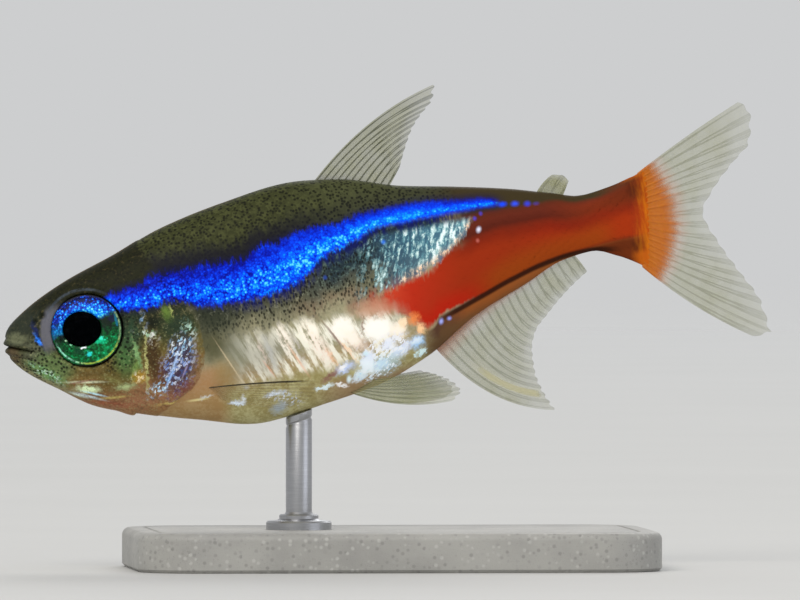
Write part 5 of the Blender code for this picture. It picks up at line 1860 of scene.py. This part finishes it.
FINS = (
    FinPlan(
        "dorsal_fin", ("fin_dorsal",), Seat.BACK, 11, (15.2, 18.6),
        upright(((21.62, 7.84), (21.4, 7.2), (20.72, 6.58), (20.18, 6.0), (19.64, 5.08), (19.3, 4.42))),
        (-0.3, 0.0, 0.95), (0.05, 0.0, 0.05),
        FinFinish("dorsal fin", (112, 114, 78), (78, 82, 52), 0.42, 0.72, (84, 80, 54)),
    ),
    FinPlan(
        "adipose_fin", ("fin_adipose",), Seat.BACK, 3, (25.2, 26.4),
        upright(((26.15, 2.72), (26.6, 2.62), (26.85, 2.3), (26.75, 2.12))), (-0.1, 0.0, 0.12), (0.0, 0.0, 0.0),
        FinFinish("adipose fin", (122, 122, 70), (116, 116, 64), 0.6, 0.62, (66, 58, 32)),
    ),
    FinPlan(
        "anal_fin", ("fin_anal",), Seat.BELLY, 20, (19.3, 26.4),
        upright((
            (24.25, -7.9), (23.85, -6.9), (23.66, -6.0), (23.72, -4.95), (24.05, -4.15), (24.8, -3.45), (25.8, -2.65),
            (26.9, -1.95),
        )),
        (-0.6, 0.0, -1.3), (0.1, 0.0, -0.1),
        FinFinish("anal fin", (126, 130, 86), (116, 120, 76), 0.34, 0.46, (186, 96, 34), 0.16, milky=True),
    ),
    FinPlan(
        "caudal_fin", ("fin_caudal_upper", "fin_caudal_lower"), Seat.TAIL_END, 19, (2.02, -2.25),
        upright((
            (35.4, 4.33), (35.82, 3.75), (35.5, 2.4), (34.6, 1.65), (33.45, 0.62), (32.75, -0.4),
            (33.3, -2.05), (33.9, -3.3), (34.67, -5.0), (34.82, -6.36), (34.0, -6.42),
        )),
        (-0.05, 0.0, 0.15), (-0.3, 0.0, -0.35),
        FinFinish("caudal fin", orange=True, root_reach=0.02),
    ),
    FinPlan(
        "pectoral_fin", ("fin_pectoral",), Seat.FLANK, 12, ((8.3, -3.8), (8.8, -4.35)),
        ((13.35, 3.75, -4.25), (13.3, 3.4, -4.7), (12.75, 3.0, -5.15), (11.6, 2.45, -5.3)),
        (0.0, 0.3, 0.15), (0.0, 0.1, -0.1),
        FinFinish("pectoral fin", (150, 128, 92), (116, 96, 66), 0.07, 0.24, (146, 108, 74), dark_edge=True),
        sides=(Side.LEFT, Side.RIGHT),
    ),
    FinPlan(
        "pelvic_fin", ("fin_pelvic",), Seat.FLANK, 8, ((14.9, -5.32), (15.9, -5.02)),
        ((19.5, 2.2, -6.45), (19.95, 2.1, -6.1), (19.5, 1.95, -5.45), (18.6, 1.75, -4.95)),
        (-0.2, 0.15, -0.75), (0.0, 0.1, 0.0),
        FinFinish("pelvic fin", (128, 132, 90), (112, 116, 74), 0.34, 0.48, (150, 110, 80)),
        sides=(Side.LEFT, Side.RIGHT),
    ),
)


@dataclass
class Stand:
    """The flat base and the steel rod that carries the fish."""

    form: FishForm
    length: float = 24.0
    width: float = 15.0
    height: float = 1.8
    corner: float = 3.0
    edge: float = 0.35
    line_depth: float = 0.06
    corner_steps: int = 14
    edge_steps: int = 6
    rod_station: float = 12.6
    rod_radius: float = 0.6
    collar_radius: float = 1.5
    collar_height: float = 0.5
    spokes: int = 48

    def outline(self, inset: float) -> list[Place]:
        """Draws the base's rounded outline, drawn in by a distance.

        Args:
            inset: How far the outline is drawn in.

        Returns:
            The places as (x, y), all round.
        """
        radius = max(self.corner - inset, 0.05)
        places = []
        for quarter, (sx, sy) in enumerate(((1, 1), (-1, 1), (-1, -1), (1, -1))):
            cx, cy = sx * (self.length / 2 - self.corner), sy * (self.width / 2 - self.corner)
            for k in range(self.corner_steps + 1):
                turn = math.pi / 2 * (quarter + k / self.corner_steps)
                places.append((cx + radius * math.cos(turn), cy + radius * math.sin(turn)))
        return places

    def build_base(self, material: Material) -> Object:
        """Builds the base: rounded all along its top edge, with a shallow line let into its top.

        Args:
            material: Its finish.

        Returns:
            The piece.
        """
        rings = [(0.15, 0.0), (0.0, 0.15)]
        for turn in np.linspace(0.0, math.pi / 2, self.edge_steps + 1):
            rings.append((self.edge * (1 - math.cos(turn)), self.height - self.edge * (1 - math.sin(turn))))
        line = self.height - self.line_depth
        rings += [(0.95, self.height), (1.0, line), (1.1, line), (1.15, self.height)]
        points = np.array([(x, y, z) for inset, z in rings for x, y in self.outline(inset)])
        n = len(points) // len(rings)
        faces = (np.array(ring_faces(len(rings), n)[n:-n]) - 1).tolist()
        faces += [range(n), range(len(points) - n, len(points))]
        piece = build_piece("display_base", points * MM, faces, material)
        piece.data.set_sharp_from_angle(angle=SHARP_ANGLE)
        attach(piece, "root")
        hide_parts("stand_base")
        return piece

    def build_rod(self, material: Material) -> Object:
        """Builds the rod with its stepped collar and the pad that the belly rests on.

        Args:
            material: Its finish.

        Returns:
            The piece.
        """
        stations = self.rod_station + np.array([0.0, 1.0])
        belly = self.form.section(stations)[1]
        foot, ahead = self.form.world(np.stack([stations, 0 * belly, belly], axis=-1)) / MM
        slope = (ahead[2] - foot[2]) / (ahead[0] - foot[0])
        bottom, top, r, wide = self.height - 0.02, foot[2] + 0.04, self.rod_radius, self.collar_radius
        collar = bottom + 0.02 + self.collar_height
        rings = [(wide, bottom), (wide, collar - 0.18), (wide - 0.08, collar - 0.1), (0.98, collar - 0.06)]
        rings += [(0.9, collar), (0.9, collar + 0.14), (0.84, collar + 0.2), (r + 0.06, collar + 0.22)]
        rings += [(r, collar + 0.3), (r, top - 0.5), (r - 0.04, top - 0.42), (r - 0.04, top - 0.36), (r, top - 0.3)]
        rings += [(r, top - 0.03), (r - 0.03, top)]
        turns = np.linspace(0.0, math.tau, self.spokes, endpoint=False)
        points = [(0.0, 0.0, bottom)]
        for radius, z in rings:
            lean = slope if z > collar + 1.0 else 0.0
            points += [(radius * x, radius * y, z + lean * radius * x) for x, y in zip(np.cos(turns), np.sin(turns))]
        points = (np.array([*points, (0.0, 0.0, top)]) + (foot[0], 0.0, 0.0)) * MM
        piece = build_piece("display_rod", points, ring_faces(len(rings), self.spokes), material)
        piece.data.set_sharp_from_angle(angle=SHARP_ANGLE)
        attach(piece, "root")
        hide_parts("stand_rod")
        return piece

    @staticmethod
    def stone() -> Material:
        """Makes the base's finish: satin pale grey resin filled with stone grains.

        Returns:
            The material.
        """
        paint = Paint("stone resin")
        place = paint.object_place()
        cloud = paint.noise(place, 0.35, 4.0)
        distance, own = paint.cells(place, 4.2)
        grain = distance.step(0.5, 0.2) * own.step(0.3, 0.6)
        tiny = paint.noise(place, 16.0)
        colour = paint.mix(cloud.step(0.3, 0.7), (150, 149, 145), (166, 165, 160))
        grey = paint.mix(own.step(0.6, 0.9), (122, 121, 118), (190, 189, 185))
        colour = paint.mix(grain * 0.55, colour, grey)
        colour = paint.mix(tiny.step(0.6, 0.75) * 0.4, colour, (92, 92, 90))
        return paint.finish({
            "Base Color": colour, "Roughness": 0.45 + tiny * 0.12,
            "Normal": paint.bump(tiny + grain * 0.3, 0.2, 0.00003),
        })

    @staticmethod
    def steel() -> Material:
        """Makes the rod's finish: steel brushed round its axis.

        Returns:
            The material.
        """
        paint = Paint("brushed steel")
        place = paint.object_place()
        brushed = paint.noise(paint.stretched(place, (1.2, 1.2, 26.0)), 1.0, 3.0, 0.6)
        smudge = paint.noise(place, 0.9)
        colour = paint.mix(brushed, (150, 151, 154), (186, 187, 190))
        return paint.finish({
            "Base Color": colour, "Metallic": 1.0, "Roughness": 0.26 + smudge * 0.14,
            "Normal": paint.bump(brushed, 0.25),
        })


@dataclass
class Studio:
    """The pale floor, the soft lights and the camera at the photograph's viewing angle."""

    pixel: float = 0.04568
    frame_width: int = 800
    snout_to_centre: Place = (395.0, 43.0)
    azimuth: float = math.radians(-5.0)
    elevation: float = math.radians(1.0)
    distance: float = 1000.0
    sensor: float = 36.0
    floor_radius: float = 2.0
    floor_clear: Place = (0.10, 0.9)
    world_colour: Colour = (205, 206, 207)

    def build_camera(self) -> None:
        """Places the camera so that the fish fills the frame as in the photograph."""
        right = Vector((math.cos(self.azimuth), math.sin(self.azimuth), 0.0))
        level = math.cos(self.elevation)
        back = Vector((math.sin(self.azimuth) * level, -math.cos(self.azimuth) * level, math.sin(self.elevation)))
        up = back.cross(right)
        snout = Vector(FishForm.world(np.zeros(3)))
        across, rise = (self.pixel * MM * pixels for pixels in self.snout_to_centre)
        centre = snout + right * across + up * rise
        camera = add_object("studio_camera", bpy.data.cameras.new("studio camera"))
        lens = camera.data
        lens.sensor_width = self.sensor
        lens.lens = self.sensor * self.distance / (self.pixel * self.frame_width)
        lens.clip_start, lens.clip_end = 0.01, 20.0
        turned = Matrix((right, up, back)).transposed().to_4x4()
        camera.matrix_world = Matrix.Translation(centre + back * self.distance * MM) @ turned
        bpy.context.scene.camera = camera

    def build_floor(self) -> None:
        """Lays a round pale floor that fades out before the horizon."""
        turns = np.linspace(0.0, math.tau, 96, endpoint=False)
        points = np.column_stack([np.cos(turns), np.sin(turns), 0 * turns]) * self.floor_radius
        paint = Paint("pale floor")
        place = paint.object_place()
        x, y, _z = paint.parts(place)
        fade = (paint.length(x, y) * MM).step(self.floor_clear[1], self.floor_clear[0])
        mottle = paint.noise(place, 0.05, 3.0)
        colour = paint.mix(mottle, (194, 194, 192), (200, 200, 198))
        material = paint.finish({"Base Color": colour, "Roughness": 0.7, "Alpha": fade})
        floor = build_piece("studio_floor", points, [tuple(range(len(points)))], material)

    def build_lights(self) -> None:
        """Hangs three soft lights and sets the pale surroundings."""
        aim = Vector(FishForm.world(np.array([15.0, 0.0, 0.0])))
        plans = (
            ("key", (-0.35, -0.62, 0.62), 0.55, 4.4, (255, 250, 242)),
            ("fill", (0.75, -0.55, 0.15), 0.7, 1.3, (240, 244, 255)),
            ("back", (0.25, 0.75, 0.6), 0.6, 2.4, (255, 255, 255)),
        )
        for name, offset, size, power, colour in plans:
            light = add_object(f"studio_{name}", bpy.data.lights.new(name, "AREA"))
            light.data.shape, light.data.size, light.data.energy = "DISK", size, power
            light.data.color = tint(colour)[:3]
            light.location = aim + Vector(offset)
            light.rotation_euler = (aim - light.location).to_track_quat("-Z", "Y").to_euler()
            light.visible_camera = False
        world = bpy.data.worlds.new("studio surroundings")
        world.use_nodes = True
        sky = world.node_tree.nodes["Background"]
        sky.inputs["Color"].default_value = tint(self.world_colour)
        bpy.context.scene.world = world
        bpy.context.scene.view_settings.view_transform = "Standard"


def report(piece: Object) -> None:
    """Logs a piece's size."""
    log.info("%s: %d faces", piece.name, len(piece.data.polygons))


def main() -> None:
    """Builds every piece of the model and then its studio, in order."""
    logging.basicConfig(level=logging.INFO, format="%(name)s: %(message)s")
    form = FishForm()
    report(Skin(form, Markings("tetra skin").skin()).build())
    coat = Markings("tetra scales").scales()
    for side in Side:
        report(ScaleCoat(form, side, coat).build())
    iris, lens, cornea = EyeFinish.iris(), EyeFinish.lens(), EyeFinish.cornea()
    for side in Side:
        for piece in Eye(side).build(iris, lens, cornea):
            report(piece)
    for plan in FINS:
        material = plan.finish.build()
        for side in plan.sides:
            report(Fin(form, plan, side, material).build())
    stand = Stand(form)
    report(stand.build_base(Stand.stone()))
    report(stand.build_rod(Stand.steel()))
    studio = Studio()
    studio.build_floor()
    studio.build_lights()
    studio.build_camera()


if __name__ == "__main__":
    main()
